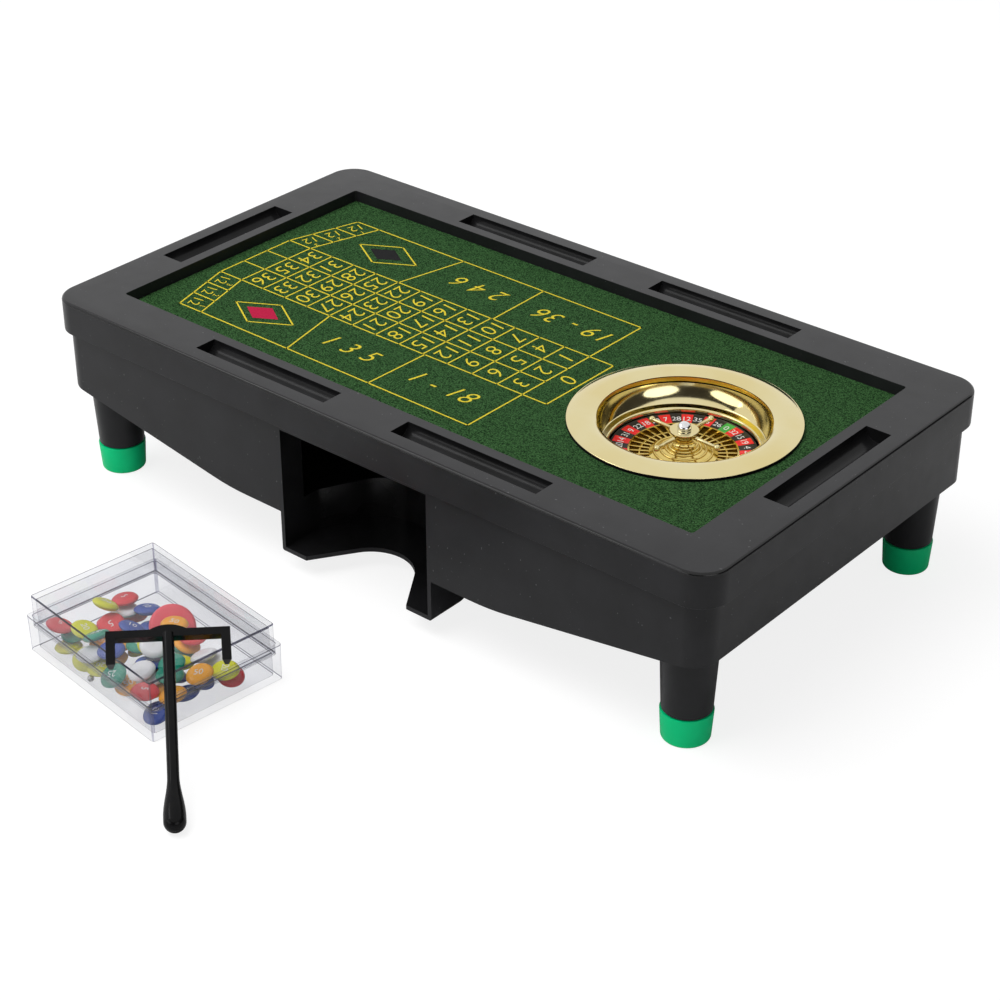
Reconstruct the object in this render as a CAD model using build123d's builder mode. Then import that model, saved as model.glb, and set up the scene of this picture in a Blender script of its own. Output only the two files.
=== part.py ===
from build123d import *
import math
import os
import random

import numpy as np

# A table-top roulette set: a moulded case on four legs whose top is the playing table, with an open
# pocket in the front, a small wheel that spins, a clear box of chips and a croupier's rake.
# X runs along the table, Y to its back and Z up. The origin lies on the floor, under the middle of
# the whole set. Sizes are in millimetres.

os.makedirs("parts", exist_ok=True)

# --- driving sizes: table top -------------------------------------------------------------------
table_length = 330.0
table_width = 179.0
table_height = 79.6
corner_radius = 12.0
top_edge_radius = 1.2
skirt_depth = 14.1
top_wall = 2.5
end_border = 22.2
side_border = 21.1
window_corner = 1.2
felt_sunk = 4.8
felt_thickness = 1.0
felt_fit = 0.2
deck_thickness = 2.2
tray_wall = 2.0
trough_wall = 1.4
side_trough_length = 68.7
side_trough_width = 9.7
side_trough_x = 51.35
side_trough_inset = 11.65
end_trough_length = 66.2
end_trough_width = 10.7
end_trough_inset = 12.25

# --- driving sizes: case ------------------------------------------------------------------------
case_fit = 0.3
case_wall = 2.0
belly_bottom = 25.2
belly_end = 40.3
belly_knee = 67.5
belly_blend = 110.0
opening_half = 37.3
opening_drop = 17.3
pocket_wall = 1.8
pocket_bottom = 7.6
pocket_floor = 1.9
pocket_straight = 18.6
pocket_back_half = 23.9
pocket_depth = 45.7
pocket_front_fillet = 8.0
pocket_back_fillet = 18.0
pocket_edge = 1.0
cheek_depth = 11.2
cheek_drop = 7.6
notch_mouth_half = 26.3
notch_flare = 56.6
notch_radius = 17.8
cut_ahead = 5.0

# --- driving sizes: legs, caps and screws ---------------------------------------------------------
leg_end_inset = 17.5
leg_side_inset = 16.3
leg_foot_radius = 9.4
leg_top_radius = 10.85
leg_shoulder = 44.0
leg_fit = 0.15
spigot_radius = 8.2
spigot_fit = 0.1
spigot_length = 16.0
socket_wall = 2.0
socket_headroom = 2.0
cap_height = 12.2
cap_foot_radius = 9.06
cap_top_radius = 9.8
cap_wall = 1.2
cap_floor = 1.5
cap_fit = 0.1
cap_gap = 0.3
post_radius = 4.2
post_drop = 19.6
post_end_inset = 47.0
post_inner_x = 72.0
post_side_inset = 31.5
screw_drop = 27.6
screw_head_radius = 2.9
screw_head_height = 2.0
screw_radius = 1.25
screw_length = 16.0
screw_head_fit = 0.4
screw_fit = 0.4
pilot_fit = 0.05

# --- driving sizes: wheel -------------------------------------------------------------------------
wheel_end_inset = 75.5
flange_radius = 44.4
flange_edge = 0.8
flange_shoulder_inset = 1.0
flange_shoulder_rise = 1.5
flange_crown_inset = 4.6
flange_crown_drop = 0.75
lip_radius = 33.0
lip_height = 3.1
lip_edge = 0.9
band_radius = 33.9
neck_radius = 36.9
neck_depth = 1.2
neck_fit = 0.3
groove_width = 1.1
groove_depth = 1.0
bowl_top_radius = 34.5
bowl_waist_radius = 33.2
bowl_waist_drop = 4.8
track_top_radius = 31.2
track_top_drop = 8.3
track_end_radius = 28.6
track_end_drop = 8.8
bowl_well_drop = 15.7
bowl_wall = 1.5
bowl_boss_radius = 3.6
bowl_boss_height = 0.6
bowl_boss_drop = 3.0
spindle_radius = 1.5
spindle_fit = 0.05
spindle_rise = 9.5
rotor_fit = 0.5
rotor_lift = 0.25
rotor_floor = 1.4
seat_outer_drop = 12.5
seat_inner_drop = 13.0
ring_thickness = 0.3
ring_inner_radius = 21.0
ring_fit = 0.1
collar_radius = 20.3
collar_rise = 0.25
pocket_count = 37
fret_inner_radius = 13.0
fret_thickness = 0.7
fret_rise = 1.3
fret_ridge_radius = 16.5
fret_ridge_width = 0.7
fret_ridge_rise = 1.0
cone_radii = (13.0, 10.6, 8.2, 6.2, 5.0)
cone_steps = (0.9, 0.8, 0.7, 0.7)
turret_foot_radius = 4.6
turret_foot_height = 0.8
turret_waist_radius = 2.9
turret_waist_height = 2.4
turret_body_radius = 4.1
turret_body_height = 4.2
turret_neck_radius = 2.9
turret_plate_radius = 5.6
turret_plate_thickness = 0.8
turret_top_drop = 3.5
arm_count = 4
arm_turn = -3.5
arm_reach = 15.7
arm_radius = 0.75
arm_tip_radius = 1.25
arm_bead_radius = 0.95
arm_bead_reach = 6.2
arm_hub_radius = 3.7
arm_hub_height = 1.6
knob_radius = 2.75
knob_sunk = 0.5

# --- driving sizes: chip box and chips --------------------------------------------------------------
box_x = -28.1
box_clear = 75.4
box_turn = -7.33
box_length = 78.8
box_width = 58.0
box_height = 15.2
box_draft = 1.2
box_floor = 1.5
box_wall = 2.2
box_corner = 1.4
rebate_depth = 4.6
lid_length = 75.6
lid_width = 55.2
lid_top = 24.0
lid_wall = 1.3
lid_plate = 1.5
lid_corner = 1.2
lid_fit = 0.3
chip_radius = 5.25
chip_thickness = 2.8
chip_bevel = 50.0
chip_sides = 12
chips_each_count = 9
chip_colours = ("blue", "orange", "yellow", "red", "white", "green")
chip_gap = 0.3
chip_tilt = 32.0
heap_back_strip = 9.0
heap_try_count = 28
heap_step = 0.3
heap_seed = 11
marker_radius = 8.9
marker_thickness = 3.0
marker_bevel = 40.0
marker_sides = 20
marker_x = -5.2
marker_y = 12.1
marker_tilt = 45.5
marker_facing = -25.8
ball_radius = 1.25
ball_places = ((-4.8, -25.2), (-17.0, -18.0))

# --- driving sizes: rake ---------------------------------------------------------------------------
rake_heading = -42.6
rake_edge_y = -18.5
rake_head_ahead = 13.4
rake_length = 76.1
rake_roll = -2.6
rake_first_tilt = 20.0
rake_tilt_rounds_count = 6
rake_gap = 0.3
rake_floor_gap = 0.15
handle_radius = 2.1
handle_flare_length = 16.0
bulb_length = 1.6
bulb_radius = 3.9
head_width = 43.8
head_bar = 3.2
head_arm_width = 3.4
head_arm_length = 11.0
head_depth = 4.8
head_draft = 12.0
head_above_axis = 0.9
web_radius = 11.5
web_bulge = 3.5
web_thickness = 1.4

# --- places worked out from the sizes ---------------------------------------------------------------
window_length = table_length - 2 * end_border
window_width = table_width - 2 * side_border
wheel_x = table_length / 2 - wheel_end_inset
leg_x = table_length / 2 - leg_end_inset
leg_y = table_width / 2 - leg_side_inset
post_outer_x = table_length / 2 - post_end_inset
post_y = table_width / 2 - post_side_inset
side_trough_y = table_width / 2 - side_trough_inset
end_trough_x = table_length / 2 - end_trough_inset
opening_top = table_height - opening_drop
cheek_top = table_height - cheek_drop
post_top = table_height - post_drop
screw_seat = table_height - screw_drop
box_ahead = table_width / 2 + box_clear
lid_half = lid_length / 2
box_angle = math.radians(box_turn)
heading = math.radians(rake_heading)


def from_box(x, y):
    """A place in the box's own frame, as seen from the middle of the table."""
    return (
        box_x + x * math.cos(box_angle) - y * math.sin(box_angle),
        -box_ahead + x * math.sin(box_angle) + y * math.cos(box_angle),
    )


# The handle leans on the lid's top edge and its bulb on the floor, which sets how far it tilts.
edge_x, edge_y = from_box(lid_half, rake_edge_y)
bulb_height = bulb_radius + rake_floor_gap
tilt = math.radians(rake_first_tilt)
for _ in range(rake_tilt_rounds_count):
    bulb_run = rake_length * math.cos(tilt) - rake_head_ahead
    edge_rise = lid_top + rake_gap + handle_radius / math.cos(tilt) - bulb_height
    tilt = math.atan2(edge_rise, bulb_run)
bulb_x = edge_x + bulb_run * math.cos(heading)
bulb_y = edge_y + bulb_run * math.sin(heading)

# The table stands back by as much as the rake reaches forward of it, about the origin.
table_y = -(table_width / 2 + bulb_y - bulb_radius) / 2

table = Plane((0, table_y, 0))
table_front = Plane(origin=(0, table_y, 0), x_dir=(1, 0, 0), z_dir=(0, -1, 0))
wheel = Plane((wheel_x, table_y, 0))
wheel_section = Plane(origin=(wheel_x, table_y, 0), x_dir=(1, 0, 0), z_dir=(0, -1, 0))
wheel_axis = Axis((wheel_x, table_y, 0), (0, 0, 1))
box = Plane(
    origin=(box_x, table_y - box_ahead, 0),
    x_dir=(math.cos(box_angle), math.sin(box_angle), 0),
    z_dir=(0, 0, 1),
)

frame_under = table_height - top_wall
felt_top = table_height - felt_sunk
deck_top = felt_top - felt_thickness
deck_under = deck_top - deck_thickness
skirt_bottom = table_height - skirt_depth
case_inset = top_wall + case_fit
case_half_length = table_length / 2 - case_inset
case_half_width = table_width / 2 - case_inset
case_corner = corner_radius - case_inset
pocket_floor_top = pocket_bottom + pocket_floor
neck_hole_radius = neck_radius + neck_fit
leg_places = {
    "front_left": (-leg_x, -leg_y),
    "front_right": (leg_x, -leg_y),
    "back_left": (-leg_x, leg_y),
    "back_right": (leg_x, leg_y),
}
post_places = [
    (side * x, end * post_y)
    for x in (post_outer_x, post_inner_x)
    for side in (-1, 1)
    for end in (-1, 1)
]
side_troughs = [(side * side_trough_x, end * side_trough_y) for side in (-1, 1) for end in (-1, 1)]


# --- table top --------------------------------------------------------------------------------------
def half_round(radius):
    """The lower half of a disc that hangs from the plane's own X axis."""
    Circle(radius)
    with Locations((0, -radius / 2)):
        Rectangle(2 * radius, radius, mode=Mode.INTERSECT)


def trough_bars(wall, mode):
    """Half-round bars under the frame, a chip trough's room or, with a wall, its shell."""
    for x, y in side_troughs:
        reach = side_trough_length + 2 * wall
        start = Plane(origin=(x - reach / 2, table_y + y, table_height), x_dir=(0, 1, 0), z_dir=(1, 0, 0))
        with BuildSketch(start) as end_shape:
            half_round(side_trough_width / 2 + wall)
        extrude(end_shape.sketch, amount=reach, mode=mode)
    for side in (-1, 1):
        reach = end_trough_length + 2 * wall
        start = Plane(
            origin=(side * end_trough_x, table_y + reach / 2, table_height),
            x_dir=(1, 0, 0),
            z_dir=(0, -1, 0),
        )
        with BuildSketch(start) as end_shape:
            half_round(end_trough_width / 2 + wall)
        extrude(end_shape.sketch, amount=reach, mode=mode)


with BuildPart() as table_top:
    with BuildSketch(table.offset(skirt_bottom)):
        RectangleRounded(table_length, table_width, corner_radius)
    extrude(amount=skirt_depth)
    fillet(table_top.faces().sort_by(Axis.Z)[-1].edges(), top_edge_radius)
    with BuildSketch(table.offset(skirt_bottom)):
        RectangleRounded(
            table_length - 2 * top_wall, table_width - 2 * top_wall, corner_radius - top_wall
        )
    extrude(amount=skirt_depth - top_wall, mode=Mode.SUBTRACT)
    with BuildSketch(table.offset(deck_under)):
        RectangleRounded(
            window_length + 2 * tray_wall, window_width + 2 * tray_wall, window_corner + tray_wall
        )
    extrude(amount=frame_under - deck_under)
    trough_bars(trough_wall, Mode.ADD)
    with BuildSketch(table.offset(deck_top)):
        RectangleRounded(window_length, window_width, window_corner)
    extrude(amount=table_height - deck_top, mode=Mode.SUBTRACT)
    trough_bars(0, Mode.SUBTRACT)
    with BuildSketch(wheel.offset(deck_under)):
        Circle(neck_hole_radius)
    extrude(amount=deck_thickness, mode=Mode.SUBTRACT)
    with BuildSketch(table.offset(post_top)):
        with Locations(*post_places):
            Circle(post_radius)
            Circle(screw_radius + pilot_fit, mode=Mode.SUBTRACT)
    extrude(amount=deck_under - post_top)
table_top.part.label = "table_top"
export_step(table_top.part, "parts/table_top.step")

with BuildPart() as felt_mat:
    with BuildSketch(table.offset(deck_top)):
        RectangleRounded(window_length - 2 * felt_fit, window_width - 2 * felt_fit, window_corner)
        with Locations((wheel_x, 0)):
            Circle(neck_hole_radius, mode=Mode.SUBTRACT)
    extrude(amount=felt_thickness)
felt_mat.part.label = "felt_mat"
export_step(felt_mat.part, "parts/felt_mat.step")


# --- case -------------------------------------------------------------------------------------------
def case_block(inset, floor):
    """The case's outside, or the room inside it when drawn in by its wall and floor."""
    half = case_half_length - inset
    with BuildPart() as block:
        with BuildSketch(table_front) as profile:
            with BuildLine():
                Polyline(
                    (-half, belly_end + floor),
                    (-belly_knee, belly_bottom + floor),
                    (belly_knee, belly_bottom + floor),
                    (half, belly_end + floor),
                    (half, frame_under),
                    (-half, frame_under),
                    close=True,
                )
            make_face()
            fillet(profile.vertices().group_by(Axis.Y)[0], belly_blend)
        extrude(amount=case_half_width - inset, both=True)
        with BuildSketch(table):
            RectangleRounded(2 * half, 2 * (case_half_width - inset), case_corner - inset)
        extrude(amount=table_height, mode=Mode.INTERSECT)
    return block.part


def pocket_outline(height, wall, ahead):
    """The pocket in plan: open to the front, drawn in towards its rounded back."""
    front = -case_half_width
    side = opening_half + wall
    with BuildSketch(table.offset(height)) as outline:
        with BuildLine():
            Polyline(
                (-side, front - ahead),
                (-side, front + pocket_straight),
                (-pocket_back_half - wall, front + pocket_depth + wall),
                (pocket_back_half + wall, front + pocket_depth + wall),
                (side, front + pocket_straight),
                (side, front - ahead),
                close=True,
            )
        make_face()
        rows = outline.vertices().group_by(Axis.Y)
        fillet(rows[-1], pocket_back_fillet + wall)
        knees = outline.vertices().group_by(Axis.Y)[1]
        fillet(knees, pocket_front_fillet + wall)
    return outline.sketch


case_outside = case_block(0, 0)
case_room = case_block(case_wall, case_wall)

with BuildPart() as pocket_shell:
    add(pocket_outline(pocket_bottom, pocket_wall, 0))
    extrude(amount=belly_bottom + case_wall - pocket_bottom)
    low_edges = pocket_shell.edges().group_by(Axis.Z)[0].sort_by(Axis.Y)[1:]
    fillet(low_edges, pocket_edge)

with BuildPart() as case_body:
    add(case_outside)
    add(case_room, mode=Mode.SUBTRACT)
    with BuildSketch(table):
        with Locations(*post_places):
            Circle(post_radius)
    extrude(amount=post_top)
    with BuildSketch(table):
        with Locations(*leg_places.values()):
            Circle(leg_top_radius + leg_fit + socket_wall)
    extrude(amount=leg_shoulder + socket_wall)
    with BuildSketch(table):
        with Locations(*leg_places.values()):
            Circle(spigot_radius + spigot_fit + socket_wall)
    extrude(amount=leg_shoulder + spigot_length + socket_headroom)
    add(case_outside, mode=Mode.INTERSECT)
    add(pocket_shell.part)
    with BuildSketch(table.offset(belly_bottom)):
        with Locations((0, cheek_depth / 2 - case_half_width)):
            Rectangle(2 * (opening_half + pocket_wall), cheek_depth)
            Rectangle(2 * opening_half, cheek_depth, mode=Mode.SUBTRACT)
    extrude(amount=cheek_top - belly_bottom)
    add(pocket_outline(pocket_floor_top, 0, cut_ahead))
    extrude(amount=belly_bottom + case_wall - pocket_floor_top, mode=Mode.SUBTRACT)
    with BuildSketch(table_front.offset(case_half_width - case_wall)):
        with Locations((0, (pocket_floor_top + opening_top) / 2)):
            Rectangle(2 * opening_half, opening_top - pocket_floor_top)
    extrude(amount=case_wall, mode=Mode.SUBTRACT)
    with BuildSketch(table.offset(pocket_bottom)) as notch:
        with BuildLine():
            Polyline(
                (-notch_mouth_half, -case_half_width),
                (0, -case_half_width + notch_mouth_half * math.tan(math.radians(notch_flare))),
                (notch_mouth_half, -case_half_width),
                close=True,
            )
        make_face()
        fillet(notch.vertices().sort_by(Axis.Y)[-1], notch_radius)
    extrude(amount=pocket_floor, mode=Mode.SUBTRACT)
    with BuildSketch(table):
        with Locations(*leg_places.values()):
            Circle(leg_top_radius + leg_fit)
    extrude(amount=leg_shoulder, mode=Mode.SUBTRACT)
    with BuildSketch(table):
        with Locations(*leg_places.values()):
            Circle(spigot_radius + spigot_fit)
    extrude(amount=leg_shoulder + spigot_length + socket_headroom, mode=Mode.SUBTRACT)
    with BuildSketch(table):
        with Locations(*post_places):
            Circle(screw_head_radius + screw_head_fit)
    extrude(amount=screw_seat, mode=Mode.SUBTRACT)
    with BuildSketch(table):
        with Locations(*post_places):
            Circle(screw_radius + screw_fit)
    extrude(amount=post_top, mode=Mode.SUBTRACT)
case_body.part.label = "case_body"
export_step(case_body.part, "parts/case_body.step")

with BuildPart() as frame_screws:
    with BuildSketch(table.offset(screw_seat - screw_head_height)):
        with Locations(*post_places):
            Circle(screw_head_radius)
    extrude(amount=screw_head_height)
    with BuildSketch(table.offset(screw_seat)):
        with Locations(*post_places):
            Circle(screw_radius)
    extrude(amount=screw_length)
frame_screws.part.label = "frame_screws"
export_step(frame_screws.part, "parts/frame_screws.step")


# --- legs and caps ------------------------------------------------------------------------------------
cap_slope = (cap_top_radius - cap_foot_radius) / cap_height
stub_foot_radius = cap_foot_radius + cap_slope * cap_floor - cap_wall - cap_fit
stub_top_radius = cap_top_radius - cap_wall - cap_fit
for corner, (x, y) in leg_places.items():
    leg_section = Plane(origin=(x, table_y + y, 0), x_dir=(1, 0, 0), z_dir=(0, -1, 0))
    leg_axis = Axis((x, table_y + y, 0), (0, 0, 1))

    with BuildPart() as leg:
        with BuildSketch(leg_section):
            with BuildLine():
                Polyline(
                    (0, cap_floor),
                    (stub_foot_radius, cap_floor),
                    (stub_top_radius, cap_height + cap_gap),
                    (leg_foot_radius, cap_height + cap_gap),
                    (leg_top_radius, leg_shoulder),
                    (spigot_radius, leg_shoulder),
                    (spigot_radius, leg_shoulder + spigot_length),
                    (0, leg_shoulder + spigot_length),
                    close=True,
                )
            make_face()
        revolve(axis=leg_axis)
    leg.part.label = f"leg_{corner}"
    export_step(leg.part, f"parts/leg_{corner}.step")

    with BuildPart() as foot_cap:
        with BuildSketch(leg_section):
            with BuildLine():
                Polyline(
                    (0, 0),
                    (cap_foot_radius, 0),
                    (cap_top_radius, cap_height),
                    (cap_top_radius - cap_wall, cap_height),
                    (stub_foot_radius + cap_fit, cap_floor),
                    (0, cap_floor),
                    close=True,
                )
            make_face()
        revolve(axis=leg_axis)
    foot_cap.part.label = f"foot_cap_{corner}"
    export_step(foot_cap.part, f"parts/foot_cap_{corner}.step")


# --- wheel --------------------------------------------------------------------------------------------
lip_top = felt_top + lip_height
neck_bottom = felt_top - neck_depth
well_floor = neck_bottom - bowl_well_drop
shoulder = (flange_radius - flange_shoulder_inset, felt_top + flange_shoulder_rise)

with BuildPart() as wheel_rim:
    with BuildSketch(wheel_section):
        with BuildLine():
            Polyline(
                (lip_radius + lip_edge, lip_top),
                (lip_radius, lip_top - lip_edge),
                (band_radius, neck_bottom),
                (neck_radius, neck_bottom),
                (neck_radius, felt_top),
                (flange_radius, felt_top),
                (flange_radius, felt_top + flange_edge),
                shoulder,
            )
            ThreePointArc(
                shoulder,
                (flange_radius - flange_crown_inset, lip_top - flange_crown_drop),
                (lip_radius + lip_edge, lip_top),
            )
        make_face()
    revolve(axis=wheel_axis)
wheel_rim.part.label = "wheel_rim"
export_step(wheel_rim.part, "parts/wheel_rim.step")

groove_radius = neck_radius - groove_width
with BuildPart() as wheel_bowl:
    with BuildSketch(wheel_section):
        with BuildLine():
            Polyline(
                (bowl_top_radius, neck_bottom - groove_depth),
                (groove_radius, neck_bottom - groove_depth),
                (groove_radius, neck_bottom),
                (neck_radius, neck_bottom),
                (neck_radius, neck_bottom - bowl_waist_drop),
                (track_top_radius + bowl_wall, neck_bottom - track_top_drop - bowl_wall),
                (track_end_radius + bowl_wall, neck_bottom - track_end_drop - bowl_wall),
                (track_end_radius + bowl_wall, well_floor - bowl_wall),
                (bowl_boss_radius, well_floor - bowl_wall),
                (bowl_boss_radius, well_floor - bowl_boss_drop),
                (spindle_radius, well_floor - bowl_boss_drop),
                (spindle_radius, well_floor + bowl_boss_height),
                (bowl_boss_radius, well_floor + bowl_boss_height),
                (bowl_boss_radius, well_floor),
                (track_end_radius, well_floor),
                (track_end_radius, neck_bottom - track_end_drop),
                (track_top_radius, neck_bottom - track_top_drop),
            )
            ThreePointArc(
                (track_top_radius, neck_bottom - track_top_drop),
                (bowl_waist_radius, neck_bottom - bowl_waist_drop),
                (bowl_top_radius, neck_bottom - groove_depth),
            )
        make_face()
    revolve(axis=wheel_axis)
wheel_bowl.part.label = "wheel_bowl"
export_step(wheel_bowl.part, "parts/wheel_bowl.step")

spindle_bottom = well_floor - bowl_boss_drop
spindle_top = well_floor + spindle_rise
with BuildPart() as spindle:
    with BuildSketch(wheel.offset(spindle_bottom)):
        Circle(spindle_radius)
    extrude(amount=spindle_top - spindle_bottom)
spindle.part.label = "spindle"
export_step(spindle.part, "parts/spindle.step")

rotor_radius = track_end_radius - rotor_fit
rotor_bottom = well_floor + bowl_boss_height + rotor_lift
rotor_skirt = well_floor + rotor_lift
seat_outer = neck_bottom + neck_depth - seat_outer_drop
seat_inner = neck_bottom + neck_depth - seat_inner_drop
fret_floor = rotor_bottom + rotor_floor
cone_foot = fret_floor + fret_rise
bore_radius = spindle_radius + spindle_fit

with BuildPart() as rotor:
    with BuildSketch(wheel_section):
        with BuildLine():
            cone_points = []
            cone_z = cone_foot
            for outer, inner, step in zip(cone_radii, cone_radii[1:], cone_steps):
                cone_points.append((outer, cone_z))
                cone_z += step
                cone_points.append((inner + step / 2, cone_z))
            cone_points.append((bore_radius, cone_z))
            Polyline(
                (bore_radius, rotor_bottom),
                (bowl_boss_radius + rotor_fit, rotor_bottom),
                (bowl_boss_radius + rotor_fit, rotor_skirt),
                (rotor_radius, rotor_skirt),
                (rotor_radius, seat_outer),
                (ring_inner_radius, seat_inner),
                (ring_inner_radius - ring_fit, seat_inner),
                (ring_inner_radius - ring_fit, seat_inner + ring_thickness + collar_rise),
                (collar_radius, seat_inner + ring_thickness + collar_rise),
                (collar_radius, fret_floor),
                (fret_inner_radius, fret_floor),
                *cone_points,
                close=True,
            )
        make_face()
    revolve(axis=wheel_axis)
    fret_middle = (collar_radius + fret_inner_radius) / 2
    with BuildSketch(wheel.offset(fret_floor)):
        with PolarLocations(fret_middle, pocket_count):
            Rectangle(collar_radius - fret_inner_radius + ring_fit, fret_thickness)
    extrude(amount=fret_rise)
    with BuildSketch(wheel.offset(fret_floor)):
        Circle(fret_ridge_radius + fret_ridge_width / 2)
        Circle(fret_ridge_radius - fret_ridge_width / 2, mode=Mode.SUBTRACT)
    extrude(amount=fret_ridge_rise)
rotor.part.label = "rotor"
export_step(rotor.part, "parts/rotor.step")

with BuildPart() as number_ring:
    with BuildSketch(wheel_section):
        with BuildLine():
            Polyline(
                (rotor_radius, seat_outer),
                (rotor_radius, seat_outer + ring_thickness),
                (ring_inner_radius, seat_inner + ring_thickness),
                (ring_inner_radius, seat_inner),
                close=True,
            )
        make_face()
    revolve(axis=wheel_axis)
number_ring.part.label = "number_ring"
export_step(number_ring.part, "parts/number_ring.step")

turret_base = cone_z
turret_top = felt_top - turret_top_drop
plate_under = turret_top - turret_plate_thickness
with BuildPart() as turret:
    with BuildSketch(wheel_section):
        with BuildLine():
            Polyline(
                (bore_radius, turret_base),
                (turret_foot_radius, turret_base),
                (turret_foot_radius, turret_base + turret_foot_height),
                (turret_waist_radius, turret_base + turret_waist_height),
                (turret_body_radius, turret_base + turret_body_height),
                (turret_neck_radius, turret_base + turret_body_height),
                (turret_neck_radius, plate_under),
                (turret_plate_radius, plate_under),
                (turret_plate_radius, turret_top),
                (0, turret_top),
                (0, spindle_top + rotor_lift),
                (bore_radius, spindle_top + rotor_lift),
                close=True,
            )
        make_face()
    revolve(axis=wheel_axis)
turret.part.label = "turret"
export_step(turret.part, "parts/turret.step")

hub_bottom = turret_base + turret_body_height
with BuildPart() as turret_arms:
    with BuildSketch(wheel.offset(hub_bottom)):
        Circle(arm_hub_radius)
        Circle(turret_neck_radius, mode=Mode.SUBTRACT)
    extrude(amount=arm_hub_height)
    for turn in range(arm_count):
        angle = math.radians(arm_turn + turn * 360 / arm_count)
        outward = (math.cos(angle), math.sin(angle), 0)
        root_reach = (turret_neck_radius + arm_hub_radius) / 2
        root = (
            wheel_x + root_reach * outward[0],
            table_y + root_reach * outward[1],
            hub_bottom + arm_hub_height / 2,
        )
        with BuildSketch(Plane(origin=root, z_dir=outward)):
            Circle(arm_radius)
        extrude(amount=arm_reach - root_reach)
        for reach, radius in ((arm_bead_reach, arm_bead_radius), (arm_reach, arm_tip_radius)):
            with Locations((wheel_x + reach * outward[0], table_y + reach * outward[1], root[2])):
                Sphere(radius)
turret_arms.part.label = "turret_arms"
export_step(turret_arms.part, "parts/turret_arms.step")

with BuildPart() as turret_ball:
    with BuildSketch(wheel_section):
        with BuildLine():
            rim = math.sqrt(knob_radius**2 - knob_sunk**2)
            ThreePointArc(
                (rim, turret_top),
                (knob_radius, turret_top + knob_sunk),
                (0, turret_top + knob_sunk + knob_radius),
            )
            Polyline((0, turret_top + knob_sunk + knob_radius), (0, turret_top), (rim, turret_top))
        make_face()
    revolve(axis=wheel_axis)
turret_ball.part.label = "turret_ball"
export_step(turret_ball.part, "parts/turret_ball.step")


# --- chip box -------------------------------------------------------------------------------------------
rebate_floor = box_height - rebate_depth
inner_length = box_length - 2 * box_wall
inner_width = box_width - 2 * box_wall
with BuildPart() as chip_box_base:
    with BuildSketch(box):
        RectangleRounded(box_length, box_width, box_corner)
    extrude(amount=box_height, taper=-box_draft)
    with BuildSketch(box.offset(box_floor)):
        RectangleRounded(inner_length, inner_width, box_corner)
    extrude(amount=box_height - box_floor, mode=Mode.SUBTRACT)
    with BuildSketch(box.offset(rebate_floor)):
        RectangleRounded(lid_length + 2 * lid_fit, lid_width + 2 * lid_fit, lid_corner + lid_fit)
    extrude(amount=rebate_depth, mode=Mode.SUBTRACT)
chip_box_base.part.label = "chip_box_base"
export_step(chip_box_base.part, "parts/chip_box_base.step")

with BuildPart() as chip_box_lid:
    with BuildSketch(box.offset(rebate_floor + lid_fit)):
        RectangleRounded(lid_length, lid_width, lid_corner)
    extrude(amount=lid_top - rebate_floor - lid_fit)
    with BuildSketch(box.offset(rebate_floor + lid_fit)):
        RectangleRounded(lid_length - 2 * lid_wall, lid_width - 2 * lid_wall, lid_corner / 2)
    extrude(amount=lid_top - lid_plate - rebate_floor - lid_fit, mode=Mode.SUBTRACT)
chip_box_lid.part.label = "chip_box_lid"
export_step(chip_box_lid.part, "parts/chip_box_lid.step")


# --- chips ------------------------------------------------------------------------------------------------
def direction(tilted, facing):
    """A unit vector tilted from upright towards a heading, both in degrees."""
    lean = math.radians(tilted)
    turn = math.radians(facing)
    return np.array([math.sin(lean) * math.cos(turn), math.sin(lean) * math.sin(turn), math.cos(lean)])


def disc_points(centre, normal, radius, half, bevel):
    """Points round the rim and both faces of a lens-shaped disc."""
    side = np.cross(normal, [0, 1, 0])
    side /= np.linalg.norm(side)
    other = np.cross(normal, side)
    face = radius - half * math.tan(math.radians(bevel))
    turns = np.linspace(0, 2 * math.pi, 2 * chip_sides, endpoint=False)[:, None]
    ring = np.cos(turns) * side + np.sin(turns) * other
    return centre + np.vstack(
        [ring * radius, ring * face + normal * half, ring * face - normal * half, [normal * half, -normal * half]]
    )


def disc_holds(points, disc):
    """Whether any of the points comes within the chip gap of a disc."""
    centre, normal, radius, half, bevel = disc
    away = points - centre
    height = np.abs(away @ normal)
    reach = np.sqrt(np.maximum((away**2).sum(axis=1) - height**2, 0))
    slope = math.tan(math.radians(bevel))
    return bool(np.any((height < half + chip_gap) & (reach + height * slope < radius + chip_gap * (1 + slope))))


def clashes(disc, heap):
    """Whether a disc comes too near to one already in the heap."""
    centre, _, radius, _, _ = disc
    points = disc_points(*disc)
    for other in heap:
        if np.linalg.norm(other[0] - centre) < radius + other[2] + chip_gap:
            if disc_holds(points, other) or disc_holds(disc_points(*other), disc):
                return True
    return False


def settle(count, heap):
    """Drop discs one by one, each to the lowest place found for it that clears the others."""
    chance = random.Random(heap_seed)
    half = chip_thickness / 2
    face = chip_radius - half * math.tan(math.radians(chip_bevel))
    for _ in range(count):
        lowest = None
        lean = chip_tilt * chance.random()
        for _ in range(heap_try_count):
            normal = direction(lean, chance.uniform(0, 360))
            across = np.sqrt(1 - normal**2)
            spread = np.maximum(chip_radius * across, face * across + half * np.abs(normal)) + chip_gap
            room_x = inner_length / 2 - spread[0]
            front = -inner_width / 2 + spread[1]
            back = inner_width / 2 - heap_back_strip - spread[1]
            x = chance.uniform(-room_x, room_x)
            y = chance.uniform(front, back)
            z = box_floor + spread[2]
            while lowest is None or z < lowest[0][2]:
                disc = (np.array([x, y, z]), normal, chip_radius, half, chip_bevel)
                if not clashes(disc, heap):
                    lowest = disc
                    break
                z += heap_step
        heap.append(lowest)
    return heap


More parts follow.
